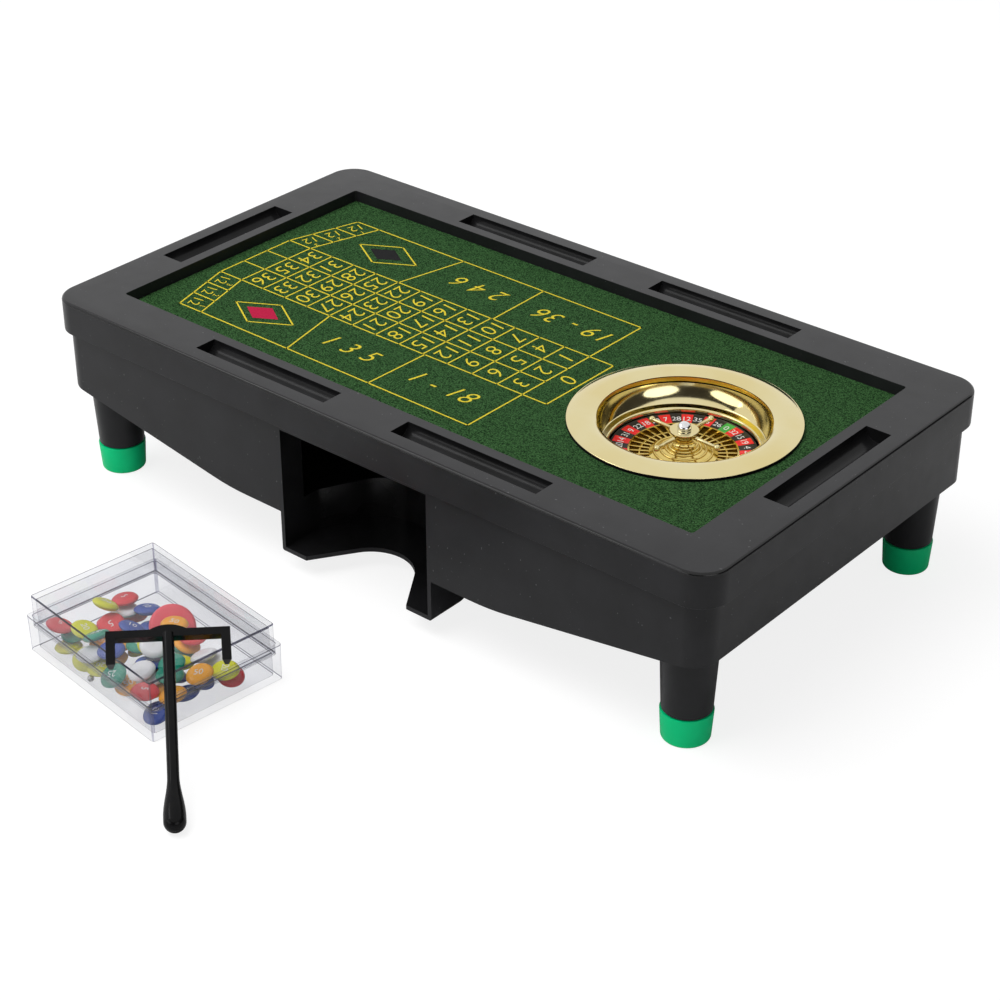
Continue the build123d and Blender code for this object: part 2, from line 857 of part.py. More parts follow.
def box_place(centre, normal):
    """The plane through a disc's middle, square to its axis, in the set's own frame."""
    origin = box.from_local_coords(Vector(*map(float, centre)))
    upright = box.from_local_coords(Vector(*map(float, centre + normal))) - origin
    return Plane(origin=origin, z_dir=upright)


marker_half = marker_thickness / 2
marker_normal = direction(marker_tilt, marker_facing)
marker_lean = math.radians(marker_tilt)
marker_rise = marker_radius * math.sin(marker_lean) + chip_gap
marker_centre = np.array([marker_x, marker_y, box_floor + marker_rise])
marker = (marker_centre, marker_normal, marker_radius, marker_half, marker_bevel)
balls = [
    (np.array([x, y, box_floor + ball_radius]), np.array([0, 0, 1.0]), ball_radius, ball_radius, 0)
    for x, y in ball_places
]
heap = settle(chips_each_count * len(chip_colours), [marker, *balls])
chips = heap[1 + len(balls) :]

with BuildPart() as chip:
    with BuildSketch():
        RegularPolygon(chip_radius, chip_sides)
    extrude(amount=chip_thickness / 2, taper=chip_bevel, both=True)

for number, colour in enumerate(chip_colours):
    places = [box_place(centre, normal) for centre, normal, *_ in chips[number :: len(chip_colours)]]
    with BuildPart() as colour_chips:
        with Locations(*places):
            add(chip.part)
    colour_chips.part.label = f"chips_{colour}"
    export_step(colour_chips.part, f"parts/chips_{colour}.step")

with BuildPart() as marker_disc:
    with BuildSketch(box_place(marker_centre, marker_normal)):
        RegularPolygon(marker_radius, marker_sides)
    extrude(amount=marker_half, taper=marker_bevel, both=True)
marker_disc.part.label = "marker_disc"
export_step(marker_disc.part, "parts/marker_disc.step")

with BuildPart() as steel_balls:
    for centre, *_ in balls:
        with Locations(box_place(centre, np.array([0, 0, 1.0])).origin):
            Sphere(ball_radius)
steel_balls.part.label = "steel_balls"
export_step(steel_balls.part, "parts/steel_balls.step")


# --- rake -------------------------------------------------------------------------------------------------
# The rake lies along its own plane: X from the head to the bulb, Y along the head, Z square to both.
along = Vector(
    math.cos(tilt) * math.cos(heading), math.cos(tilt) * math.sin(heading), -math.sin(tilt)
)
bulb = Vector(bulb_x, table_y + bulb_y, bulb_height)
head = bulb - along * rake_length
rake_up = Vector(
    math.sin(tilt) * math.cos(heading), math.sin(tilt) * math.sin(heading), math.cos(tilt)
).rotate(Axis((0, 0, 0), along), rake_roll)
rake = Plane(origin=head, x_dir=along, z_dir=rake_up)
rake_section = Plane(origin=head, x_dir=along, z_dir=rake_up.cross(along) * -1)

with BuildPart() as croupier_rake:
    with BuildSketch(rake.offset(head_above_axis)):
        Rectangle(head_bar, head_width)
    extrude(amount=-head_depth, taper=head_draft)
    for side in (-1, 1):
        with BuildSketch(rake.offset(head_above_axis)):
            with Locations((head_arm_length / 2, side * (head_width - head_arm_width) / 2)):
                Rectangle(head_arm_length + head_bar, head_arm_width)
        extrude(amount=-head_depth, taper=head_draft)
    with BuildSketch(rake.offset(head_above_axis)):
        with Locations((web_radius - web_bulge, 0)):
            Circle(web_radius)
        with Locations((web_radius, 0)):
            Rectangle(2 * web_radius, 2 * web_radius, mode=Mode.SUBTRACT)
    extrude(amount=-web_thickness)
    with BuildSketch(rake_section):
        with BuildLine():
            flare_end = rake_length - bulb_length
            flare_start = flare_end - handle_flare_length
            Polyline((0, 0), (0, handle_radius), (flare_start, handle_radius))
            Spline(
                (flare_start, handle_radius),
                (flare_end, bulb_radius),
                tangents=((1, 0), (1, 0)),
            )
            Line((flare_end, bulb_radius), (rake_length, bulb_radius))
            CenterArc((rake_length, 0), bulb_radius, 90, -90)
            Line((rake_length + bulb_radius, 0), (0, 0))
        make_face()
    revolve(axis=Axis(head, along))
croupier_rake.part.label = "croupier_rake"
export_step(croupier_rake.part, "parts/croupier_rake.step")
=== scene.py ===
"""Finishes the tabletop roulette set: the case and its felt, the gilt wheel, the box of chips and the rake."""

from __future__ import annotations

import logging
import math
from collections.abc import Callable
from dataclasses import dataclass, field
from enum import Enum

import bmesh
import bpy
from mathutils import Matrix, Vector


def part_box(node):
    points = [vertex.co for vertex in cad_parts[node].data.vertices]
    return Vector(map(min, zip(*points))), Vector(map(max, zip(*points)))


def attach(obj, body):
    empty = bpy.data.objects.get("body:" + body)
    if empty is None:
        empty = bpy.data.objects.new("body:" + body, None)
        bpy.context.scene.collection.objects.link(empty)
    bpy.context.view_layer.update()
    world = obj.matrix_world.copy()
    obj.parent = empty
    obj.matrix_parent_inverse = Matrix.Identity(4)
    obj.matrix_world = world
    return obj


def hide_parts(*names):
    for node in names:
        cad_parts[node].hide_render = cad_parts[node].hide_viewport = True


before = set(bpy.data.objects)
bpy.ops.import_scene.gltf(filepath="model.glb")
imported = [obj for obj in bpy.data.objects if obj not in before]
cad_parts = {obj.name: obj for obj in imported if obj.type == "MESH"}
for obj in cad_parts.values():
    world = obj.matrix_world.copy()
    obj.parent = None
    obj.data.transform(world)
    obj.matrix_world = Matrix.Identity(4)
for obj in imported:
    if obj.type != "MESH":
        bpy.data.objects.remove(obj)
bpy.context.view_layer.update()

log = logging.getLogger("roulette_set")
MM = 0.001
Point = tuple[float, float]
Socket = bpy.types.NodeSocket
Tree = bpy.types.NodeTree
Material = bpy.types.Material
Face = bmesh.types.BMFace
Inputs = dict[str | int, Socket | float | tuple[float, ...]]


class Body(Enum):
    """The parts of the set that move on their own."""

    TABLE = "table"
    ROTOR = "rotor"
    BOX = "chip_box"
    LID = "box_lid"
    RAKE = "rake"


class Colour(Enum):
    """Linear colours of the set's own plastics, prints and platings."""

    BLACK = (0.013, 0.013, 0.014, 1.0)
    SOFT_BLACK = (0.019, 0.019, 0.021, 1.0)
    RAKE_BLACK = (0.006, 0.006, 0.006, 1.0)
    CAP_GREEN = (0.001, 0.68, 0.255, 1.0)
    CAP_GREEN_DEEP = (0.001, 0.60, 0.22, 1.0)
    FELT_DARK = (0.002, 0.011, 0.003, 1.0)
    FELT_LIGHT = (0.052, 0.138, 0.045, 1.0)
    PRINT_YELLOW = (0.80, 0.66, 0.030, 1.0)
    PRINT_AMBER = (0.62, 0.48, 0.02, 1.0)
    # Painted shade: a dark gold and a brown for gilt hollows, the fret floor and the groove under the rim's lip.
    FRET_SHADE = (0.16, 0.115, 0.028, 1.0)
    PAINTED_SHADE_BROWN = (0.07, 0.05, 0.012, 1.0)
    CRIMSON = (0.52, 0.016, 0.065, 1.0)
    CRIMSON_DEEP = (0.42, 0.012, 0.05, 1.0)
    GOLD = (0.73, 0.65, 0.38, 1.0)
    GOLD_DEEP = (0.70, 0.59, 0.29, 1.0)
    CLEAR = (0.955, 0.957, 0.965, 1.0)
    CLEAR_HAZE = (0.935, 0.937, 0.95, 1.0)
    # Painted shade: grey tints for the box's rounded corners and eased edges, darker than the clear walls.
    PAINTED_CORNER_SHADE = (0.66, 0.66, 0.74, 1.0)
    PAINTED_CORNER_SHADE_DEEP = (0.48, 0.48, 0.57, 1.0)
    PAINTED_EDGE_SHADE = (0.21, 0.21, 0.28, 1.0)
    PAINTED_EDGE_SHADE_DEEP = (0.10, 0.10, 0.16, 1.0)
    WORKED_GOLD = (0.74, 0.58, 0.21, 1.0)
    WORKED_GOLD_DEEP = (0.62, 0.46, 0.13, 1.0)
    NECK_GOLD = (1.0, 0.84, 0.14, 1.0)
    NECK_GOLD_DEEP = (0.78, 0.60, 0.07, 1.0)
    SPECK = (0.10, 0.10, 0.105, 1.0)
    PRINT_BLACK = (0.004, 0.004, 0.005, 1.0)
    CHROME = (0.86, 0.86, 0.87, 1.0)
    STEEL = (0.52, 0.52, 0.53, 1.0)
    STEEL_DARK = (0.40, 0.40, 0.41, 1.0)
    CELL_RED = (0.86, 0.012, 0.022, 1.0)
    CELL_RED_DEEP = (0.76, 0.008, 0.016, 1.0)
    CELL_GREEN = (0.045, 0.42, 0.060, 1.0)
    CELL_GREEN_DEEP = (0.035, 0.34, 0.048, 1.0)
    WHITE = (0.82, 0.82, 0.80, 1.0)
    WARM_WHITE = (0.74, 0.74, 0.70, 1.0)
    CHIP_BLUE = (0.018, 0.065, 0.36, 1.0)
    CHIP_ORANGE = (1.00, 0.42, 0.003, 1.0)
    CHIP_YELLOW = (0.72, 0.72, 0.004, 1.0)
    CHIP_RED = (0.78, 0.018, 0.030, 1.0)
    CHIP_WHITE = (0.86, 0.86, 0.86, 1.0)
    CHIP_GREEN = (0.002, 0.27, 0.17, 1.0)
    MARKER_PINK = (0.92, 0.060, 0.100, 1.0)


# --- nodes and objects -------------------------------------------------------------------------------
def fill(node: bpy.types.Node, inputs: Inputs) -> None:
    """Fill a shader node's inputs.

    Args:
        node: The node.
        inputs: For each input, its value or the output that feeds it.
    """
    for name, value in inputs.items():
        if isinstance(value, Socket):
            node.id_data.links.new(value, node.inputs[name])
        else:
            node.inputs[name].default_value = value


def wire(tree: Tree, kind: str, inputs: Inputs, mode: str = "", out: str | int = 0) -> Socket:
    """Add a shader node.

    Args:
        tree: The node tree that it is for.
        kind: What kind of node it is.
        inputs: For each input, its value or the output that feeds it.
        mode: The operation of a sum or the data type of a mix.
        out: Which of its outputs is wanted.

    Returns:
        That output.
    """
    made = tree.nodes.new(f"ShaderNode{kind}")
    if kind == "Math":
        made.operation = mode
    elif mode:
        made.data_type = mode
    fill(made, inputs)
    return made.outputs[out]


def layer(tree: Tree, share: Socket, under: Socket, over: Socket) -> None:
    """Lay one shader over another, by a share, as a material's surface."""
    fill(tree.nodes["Material Output"], {"Surface": wire(tree, "MixShader", {0: share, 1: under, 2: over})})


def start_material(name: str, inputs: Inputs) -> tuple[Material, Tree, bpy.types.Node]:
    """Start a material.

    Args:
        name: Its name.
        inputs: What its shader's inputs are set to.

    Returns:
        The material, its node tree and its principled shader.
    """
    made = bpy.data.materials.new(name)
    made.use_nodes = True
    shader = made.node_tree.nodes["Principled BSDF"]
    fill(shader, inputs)
    return made, made.node_tree, shader


def mesh_of(name: str, bm: bmesh.types.BMesh, *finishes: Material) -> bpy.types.Mesh:
    """Make a mesh of what has been built and clear the bench.

    Args:
        name: Its name.
        bm: What has been built.
        finishes: Its materials.

    Returns:
        The mesh.
    """
    mesh = bpy.data.meshes.new(name)
    bm.to_mesh(mesh)
    bm.free()
    for finish in finishes:
        mesh.materials.append(finish)
    return mesh


def show(name: str, data: bpy.types.ID) -> bpy.types.Object:
    """Put a mesh, a lamp or a camera in the scene.

    Args:
        name: The object's name.
        data: What it shows.

    Returns:
        The object.
    """
    made = bpy.data.objects.new(name, data)
    bpy.context.scene.collection.objects.link(made)
    return made


# --- finishes --------------------------------------------------------------------------------------
@dataclass(frozen=True)
class Finish:
    """What every finish of the set has in common: a name and a principled surface with its own grain."""

    name: str
    colour: Colour
    second: Colour
    roughness: float = 0.4
    metallic: float = 0.0
    patch_scale: float = 60.0
    grain_scale: float = 1500.0
    grain_height: float = 0.00002
    rough_spread: float = 0.035
    specular: float = 0.5
    specks: float = 0.0

    SPECK_SCALE = 1100.0
    SPECK_START = 0.86
    SPECK_FULL = 0.90
    GLOSS_SCALE = 2.3
    LEAST_ROUGHNESS = 0.01

    def sheet(self) -> tuple[Material, Tree, bpy.types.Node]:
        """Start the material, and give it, its node tree and its principled shader."""
        return start_material(self.name, {"Metallic": self.metallic, "Specular IOR Level": self.specular})

    def noise(self, tree: Tree, scale: float, detail: float = 3.0) -> Socket:
        """Lay a noise, of so many blotches to the metre, over the piece's own coordinates."""
        place = wire(tree, "TexCoord", {}, out="Object")
        return wire(tree, "TexNoise", {"Scale": scale, "Detail": detail, "Vector": place}, out="Fac")

    def spread(
        self, tree: Tree, factor: Socket, low: float = 0.0, high: float = 1.0, margin: float = 0.28
    ) -> Socket:
        """Stretch a noise between two values, leaving out a margin at either end of it."""
        ends = {"From Min": margin, "From Max": 1 - margin, "To Min": low, "To Max": high}
        return wire(tree, "MapRange", {**ends, "Value": factor}, out="Result")

    def two_tone(
        self, tree: Tree, factor: Socket, first: Socket | tuple[float, ...], second: Colour
    ) -> Socket:
        """Blend two colours by a factor, the first where it is zero."""
        return wire(tree, "Mix", {"A": first, "B": second.value, "Factor": factor}, "RGBA", "Result")

    def patches(self, tree: Tree) -> Socket:
        """Lay the finish's two near tones in patches."""
        share = self.spread(tree, self.noise(tree, self.patch_scale))
        return self.two_tone(tree, share, self.colour.value, self.second)

    def dusted(self, tree: Tree, under: Socket) -> Socket:
        """Scatter fine pale specks, the dust and nicks of handled plastic.

        Args:
            tree: The material's node tree.
            under: The colour under them.

        Returns:
            The colour with its specks.
        """
        ends = {"From Min": self.SPECK_START - self.specks, "From Max": self.SPECK_FULL - self.specks}
        share = wire(tree, "MapRange", {**ends, "Value": self.noise(tree, self.SPECK_SCALE, 0.0)}, out="Result")
        return self.two_tone(tree, share, under, Colour.SPECK)

    def grain(self, tree: Tree, height: Socket) -> Socket:
        """Raise the surface by a pattern and give its normal."""
        return wire(tree, "Bump", {"Strength": 1.0, "Distance": self.grain_height, "Height": height}, out="Normal")

    def make(self) -> Material:
        """Build the finish: two near tones in patches, uneven gloss and a fine grain.

        Returns:
            The material.
        """
        made, tree, shader = self.sheet()
        colour = self.patches(tree)
        if self.specks:
            colour = self.dusted(tree, colour)
        gloss = self.spread(
            tree,
            self.noise(tree, self.patch_scale * self.GLOSS_SCALE),
            max(self.roughness - self.rough_spread, self.LEAST_ROUGHNESS),
            self.roughness + self.rough_spread,
        )
        grain = self.grain(tree, self.noise(tree, self.grain_scale))
        fill(shader, {"Base Color": colour, "Roughness": gloss, "Normal": grain})
        return made


@dataclass(frozen=True)
class FeltFinish(Finish):
    """Short green felt: matted fibres in two greens, with a soft sheen."""

    fibre_scale: float = 1700.0
    fibre_margin: float = 0.39
    mottle_scale: float = 700.0
    mottle_margin: float = 0.36
    mottle_share: float = 0.3
    sheen: float = 0.25
    sheen_roughness: float = 0.5

    def make(self) -> Material:
        """Build the felt.

        Returns:
            The material.
        """
        made, tree, shader = self.sheet()
        fibre = self.spread(tree, self.noise(tree, self.fibre_scale, 1.0), margin=self.fibre_margin)
        mottle = self.spread(tree, self.noise(tree, self.mottle_scale, 2.0), margin=self.mottle_margin)
        both = wire(tree, "Mix", {"Factor": self.mottle_share, "A": fibre, "B": mottle}, out="Result")
        colour = self.two_tone(tree, both, self.colour.value, self.second)
        fill(shader, {"Base Color": colour, "Roughness": self.roughness, "Normal": self.grain(tree, both)})
        fill(shader, {"Sheen Weight": self.sheen, "Sheen Roughness": self.sheen_roughness})
        fill(shader, {"Sheen Tint": self.second.value})
        return made


@dataclass(frozen=True)
class ClearFinish(Finish):
    """Clear moulded polystyrene: see-through, faintly grey, and brighter where it is seen edge on."""

    gloss: float = 0.035
    rim: float = 0.85

    GLOSS_SCALE = 3
    STEEPNESS = 4.0

    def make(self) -> Material:
        """Build the clear plastic: a tinted see-through layer under a thin gloss.

        Returns:
            The material.
        """
        made, tree, shader = self.sheet()
        tree.nodes.remove(shader)
        clear = wire(tree, "BsdfTransparent", {"Color": self.patches(tree)})
        rough = self.spread(tree, self.noise(tree, self.patch_scale * self.GLOSS_SCALE), high=self.roughness)
        grain = self.grain(tree, self.noise(tree, self.grain_scale))
        shine = wire(tree, "BsdfGlossy", {"Roughness": rough, "Normal": grain})
        edge = wire(tree, "LayerWeight", {"Blend": 0.5}, out="Facing")
        steep = wire(tree, "Math", {0: edge, 1: self.STEEPNESS}, "POWER")
        ends = {"To Min": self.gloss, "To Max": self.rim}
        layer(tree, wire(tree, "MapRange", {**ends, "Value": steep}, out="Result"), clear, shine)
        return made


class Finishes:
    """Every finish of the set, made once."""

    def __init__(self) -> None:
        """Make them all."""
        black, soft = Colour.BLACK, Colour.SOFT_BLACK
        self.frame_plastic = Finish(
            "frame_plastic", soft, black, 0.32, grain_height=0.000005, specular=0.27, specks=0.015
        ).make()
        # Troughs: glossier plastic, painted darker than the frame top as painted shade in the recess.
        self.glossy_trough_painted_shade = Finish(
            "glossy_trough_painted_shade", Colour.RAKE_BLACK, black, 0.2, grain_height=0.000006, specular=0.13
        ).make()
        self.pocket_plastic = Finish(
            "pocket_plastic", Colour.RAKE_BLACK, black, 0.23, grain_height=0.000006, specular=0.3
        ).make()
        # Rounded top edge: polished, and painted darker as a painted dark reflection under its highlight.
        self.glossy_edge_painted_shade = Finish(
            "glossy_edge_painted_shade", Colour.RAKE_BLACK, black, 0.12, grain_height=0.000003, specular=0.32
        ).make()
        self.case_plastic = Finish(
            "case_plastic", black, soft, 0.32, grain_height=0.000006, specular=0.2, specks=0.02
        ).make()
        self.leg_plastic = Finish("leg_plastic", black, soft, 0.32, grain_height=0.000006, specular=0.18).make()
        self.rake_plastic = Finish(
            "rake_plastic", Colour.RAKE_BLACK, Colour.PRINT_BLACK, 0.2, patch_scale=240, specular=0.1
        ).make()
        self.cap_plastic = Finish("cap_plastic", Colour.CAP_GREEN, Colour.CAP_GREEN_DEEP, 0.4, specular=0.12).make()
        self.felt = FeltFinish(
            "green_felt", Colour.FELT_DARK, Colour.FELT_LIGHT, 0.95, grain_height=0.0003, specular=0.1
        ).make()
        self.yellow_print = Finish(
            "yellow_print", Colour.PRINT_YELLOW, Colour.PRINT_AMBER, 0.7, patch_scale=1400, grain_height=0.00006
        ).make()
        self.crimson_print = Finish(
            "crimson_print", Colour.CRIMSON, Colour.CRIMSON_DEEP, 0.75, patch_scale=1200, grain_height=0.00006,
            specular=0.1,
        ).make()
        self.black_print = Finish(
            "black_print", Colour.PRINT_BLACK, Colour.RAKE_BLACK, 0.75, patch_scale=1200, grain_height=0.00006,
            specular=0.15,
        ).make()
        self.gold = Finish(
            "gold_plating", Colour.GOLD, Colour.GOLD_DEEP, 0.1, 1.0, 40, 90, 0.000025, 0.03
        ).make()
        self.worked_gold = Finish(
            "worked_gold", Colour.WORKED_GOLD, Colour.WORKED_GOLD_DEEP, 0.12, 1.0, 160, 500, 0.00002, 0.04
        ).make()
        # Painted shade: dark gold for the floor between the frets and the groove under the rim's lip.
        self.painted_shade_gold = Finish("painted_shade_gold", Colour.FRET_SHADE, Colour.PAINTED_SHADE_BROWN, 0.35, 1.0, 300).make()
        # Painted shadow: near-black for the flange's upright edge and the groove atop the bowl wall.
        self.painted_shadow = Finish(
            "painted_shadow", Colour.PRINT_BLACK, Colour.RAKE_BLACK, 0.8, patch_scale=300, specular=0.05
        ).make()
        self.chrome = Finish("chrome_plating", Colour.CHROME, Colour.STEEL, 0.05, 1.0, 200, 700, 0.000004, 0.02).make()
        self.steel = Finish("bright_steel", Colour.STEEL, Colour.STEEL_DARK, 0.2, 1.0, 400).make()
        self.cell_red = Finish("cell_red", Colour.CELL_RED, Colour.CELL_RED_DEEP, 0.35, patch_scale=500).make()
        self.cell_black = Finish("cell_black", black, soft, 0.33, patch_scale=500, specular=0.25).make()
        self.cell_green = Finish("cell_green", Colour.CELL_GREEN, Colour.CELL_GREEN_DEEP, 0.35, patch_scale=500).make()
        self.white_print = Finish("white_print", Colour.WHITE, Colour.WARM_WHITE, 0.45, patch_scale=900).make()
        self.clear = ClearFinish(
            "clear_polystyrene", Colour.CLEAR, Colour.CLEAR_HAZE, 0.03, patch_scale=90, grain_scale=160,
            grain_height=0.000006,
        ).make()
        # Painted shade on the box's eased edges and rounded corners.
        self.clear_painted_edge_shade = ClearFinish(
            "clear_painted_edge_shade", Colour.PAINTED_EDGE_SHADE, Colour.PAINTED_EDGE_SHADE_DEEP, 0.08, patch_scale=300, grain_scale=160,
            grain_height=0.000006, gloss=0.1, rim=0.2,
        ).make()
        self.clear_painted_corner_shade = ClearFinish(
            "clear_painted_corner_shade", Colour.PAINTED_CORNER_SHADE, Colour.PAINTED_CORNER_SHADE_DEEP, 0.08, patch_scale=300, grain_scale=160,
            grain_height=0.000006, gloss=0.1, rim=0.2,
        ).make()
        self.neck_gold = Finish(
            "neck_gold", Colour.NECK_GOLD, Colour.NECK_GOLD_DEEP, 0.38, 1.0, 70, 200, 0.00003, 0.05
        ).make()


@dataclass(frozen=True)
class ChipColour:
    """One colour of chip and the plain number printed on it."""

    node: str
    colour: Colour
    number: str

    def make(self) -> Material:
        """Build the chip's glossy moulded plastic."""
        return Finish(f"chip_{self.node}", self.colour, self.colour, 0.22, patch_scale=300, specular=0.4).make()


# --- making tools ----------------------------------------------------------------------------------
def arc(start: Point, middle: Point, end: Point, steps: int) -> list[Point]:
    """Divide the arc through three points.

    Args:
        start: Its first point.
        middle: A point on it.
        end: Its last point.
        steps: How many runs it is divided into.

    Returns:
        Its points, both ends included.
    """
    (ax, ay), (bx, by), (cx, cy) = start, middle, end
    d = 2 * (ax * (by - cy) + bx * (cy - ay) + cx * (ay - by))
    ux = ((ax**2 + ay**2) * (by - cy) + (bx**2 + by**2) * (cy - ay) + (cx**2 + cy**2) * (ay - by)) / d
    uy = ((ax**2 + ay**2) * (cx - bx) + (bx**2 + by**2) * (ax - cx) + (cx**2 + cy**2) * (bx - ax)) / d
    radius = math.hypot(ax - ux, ay - uy)
    first, mid, last = (math.atan2(y - uy, x - ux) for x, y in (start, middle, end))
    turn = (last - first) % math.tau
    if (mid - first) % math.tau > turn:
        turn -= math.tau
    angles = [first + turn * step / steps for step in range(steps + 1)]
    return [(ux + radius * math.cos(a), uy + radius * math.sin(a)) for a in angles]


class Stamp:
    """Makes plain lettering into flat meshes of an exact height."""

    def __init__(self) -> None:
        """Start with no letterings made."""
        self.made: dict[tuple[str, float, float, float, float], bpy.types.Mesh] = {}

    def cut(
        self, text: str, height: float, spacing: float = 1.0, lean: float = 0.0, thin: float = 0.0
    ) -> bpy.types.Mesh:
        """Cut a lettering, centred on the origin.

        Args:
            text: Plain figures.
            height: How tall a figure is.
            spacing: How far apart they stand, as a share of the usual.
            lean: How far they slope.
            thin: How much their strokes are thinned.

        Returns:
            A flat mesh whose figures stand along Y.
        """
        key = (text, height, spacing, lean, thin)
        if key not in self.made:
            curve = bpy.data.curves.new("lettering", "FONT")
            curve.body = text
            curve.resolution_u = 4
            curve.space_character = spacing
            curve.shear = lean
            curve.offset = -thin
            holder = bpy.data.objects.new("lettering", curve)
            mesh = bpy.data.meshes.new_from_object(holder)
            bpy.data.objects.remove(holder)
            low = [min(v.co[i] for v in mesh.vertices) for i in range(2)]
            high = [max(v.co[i] for v in mesh.vertices) for i in range(2)]
            centre = Vector(((low[0] + high[0]) / 2, (low[1] + high[1]) / 2, 0))
            mesh.transform(Matrix.Scale(height / (high[1] - low[1]), 4) @ Matrix.Translation(-centre))
            self.made[key] = mesh
        return self.made[key]


@dataclass
class Workpiece:
    """A piece in the making, in millimetres, which ends as one finished object."""

    name: str
    body: Body
    bm: bmesh.types.BMesh = field(default_factory=bmesh.new)

    MERGE = 0.002
    FLAT = 0.6
    SHARP = 40

    def lathe(self, profile: list[Point], centre: Point, steps: int = 96, closed: bool = True, slot: int = 0) -> None:
        """Spin a section round an upright axis.

        Args:
            profile: Points (radius, height) of the section, in order.
            centre: Where the axis stands.
            steps: How many runs the turn is divided into.
            closed: Whether the last point joins the first.
            slot: Which of the piece's finishes it takes.
        """
        x, y = centre
        verts = [self.bm.verts.new((x + radius, y, height)) for radius, height in profile]
        edges = [self.bm.edges.new(pair) for pair in zip(verts, verts[1:])]
        if closed:
            edges.append(self.bm.edges.new((verts[-1], verts[0])))
        old = set(self.bm.faces)
        bmesh.ops.spin(
            self.bm, geom=verts + edges, cent=(x, y, 0), axis=(0, 0, 1), dvec=(0, 0, 0), angle=math.tau, steps=steps,
            use_merge=True, use_duplicate=False,
        )
        new = [f for f in self.bm.faces if f not in old]
        for face in new:
            face.material_index = slot
        spun = dict.fromkeys(v for f in new for v in f.verts)
        bmesh.ops.remove_doubles(self.bm, verts=list(spun), dist=self.MERGE)

    def copy_of(self, node: str) -> None:
        """Start from a merged copy of one of the set's solids.

        Args:
            node: The solid's name.
        """
        self.bm.from_mesh(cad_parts[node].data)
        bmesh.ops.transform(self.bm, matrix=Matrix.Scale(1 / MM, 4), verts=self.bm.verts)
        bmesh.ops.remove_doubles(self.bm, verts=self.bm.verts, dist=self.MERGE)
        bmesh.ops.dissolve_limit(
            self.bm, angle_limit=math.radians(self.FLAT), use_dissolve_boundaries=False, verts=self.bm.verts,
            edges=self.bm.edges,
        )

    def add(self, mesh: bpy.types.Mesh, place: Matrix, slot: int = 0) -> None:
        """Add a copy of a mesh at a place.

        Args:
            mesh: What to add.
            place: Where it goes.
            slot: Which of the piece's finishes it takes.
        """
        old_verts, old_faces = set(self.bm.verts), set(self.bm.faces)
        self.bm.from_mesh(mesh)
        bmesh.ops.transform(self.bm, matrix=place, verts=[v for v in self.bm.verts if v not in old_verts])
        for face in self.bm.faces:
            if face not in old_faces:
                face.material_index = slot

    def close_up(self) -> None:
        """Turn every face outwards."""
        bmesh.ops.recalc_face_normals(self.bm, faces=self.bm.faces)

    def paint(self, rule: Callable[[Face, Vector], int]) -> None:
        """Give each face the finish that a rule picks from the face and its middle."""
        for face in self.bm.faces:
            face.material_index = rule(face, face.calc_center_median())

    def finish(
        self,
        finishes: list[Material],
        replaces: tuple[str, ...] = (),
        slot: str | None = None,
        crease: float = 32.0,
        bevel: float = 0.0,
        segments: int = 3,
    ) -> bpy.types.Object:
        """Make the object, smooth its curved faces and set it on its body.

        Args:
            finishes: Its materials.
            replaces: The set's solids that it stands for.
            slot: Not used.
            crease: The angle above which an edge stays sharp, in degrees.
            bevel: How far its sharp edges are eased, in millimetres.
            segments: How many runs an eased edge has.

        Returns:
            The finished object.
        """
        limit = math.radians(crease)
        for face in self.bm.faces:
            face.smooth = True
        for edge in self.bm.edges:
            edge.smooth = len(edge.link_faces) == 2 and edge.calc_face_angle(math.pi) < limit
        bmesh.ops.transform(self.bm, matrix=Matrix.Scale(MM, 4), verts=self.bm.verts)
        made = show(self.name, mesh_of(self.name, self.bm, *finishes))
        if bevel:
            eased = made.modifiers.new("eased_edges", "BEVEL")
            eased.width = bevel * MM
            eased.segments = segments
            eased.limit_method = "ANGLE"
            eased.angle_limit = math.radians(self.SHARP)
            eased.harden_normals = True
        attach(made, self.body.value)
        if replaces:
            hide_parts(*replaces)
        log.info("%s: %d faces", self.name, len(made.data.polygons))
        return made


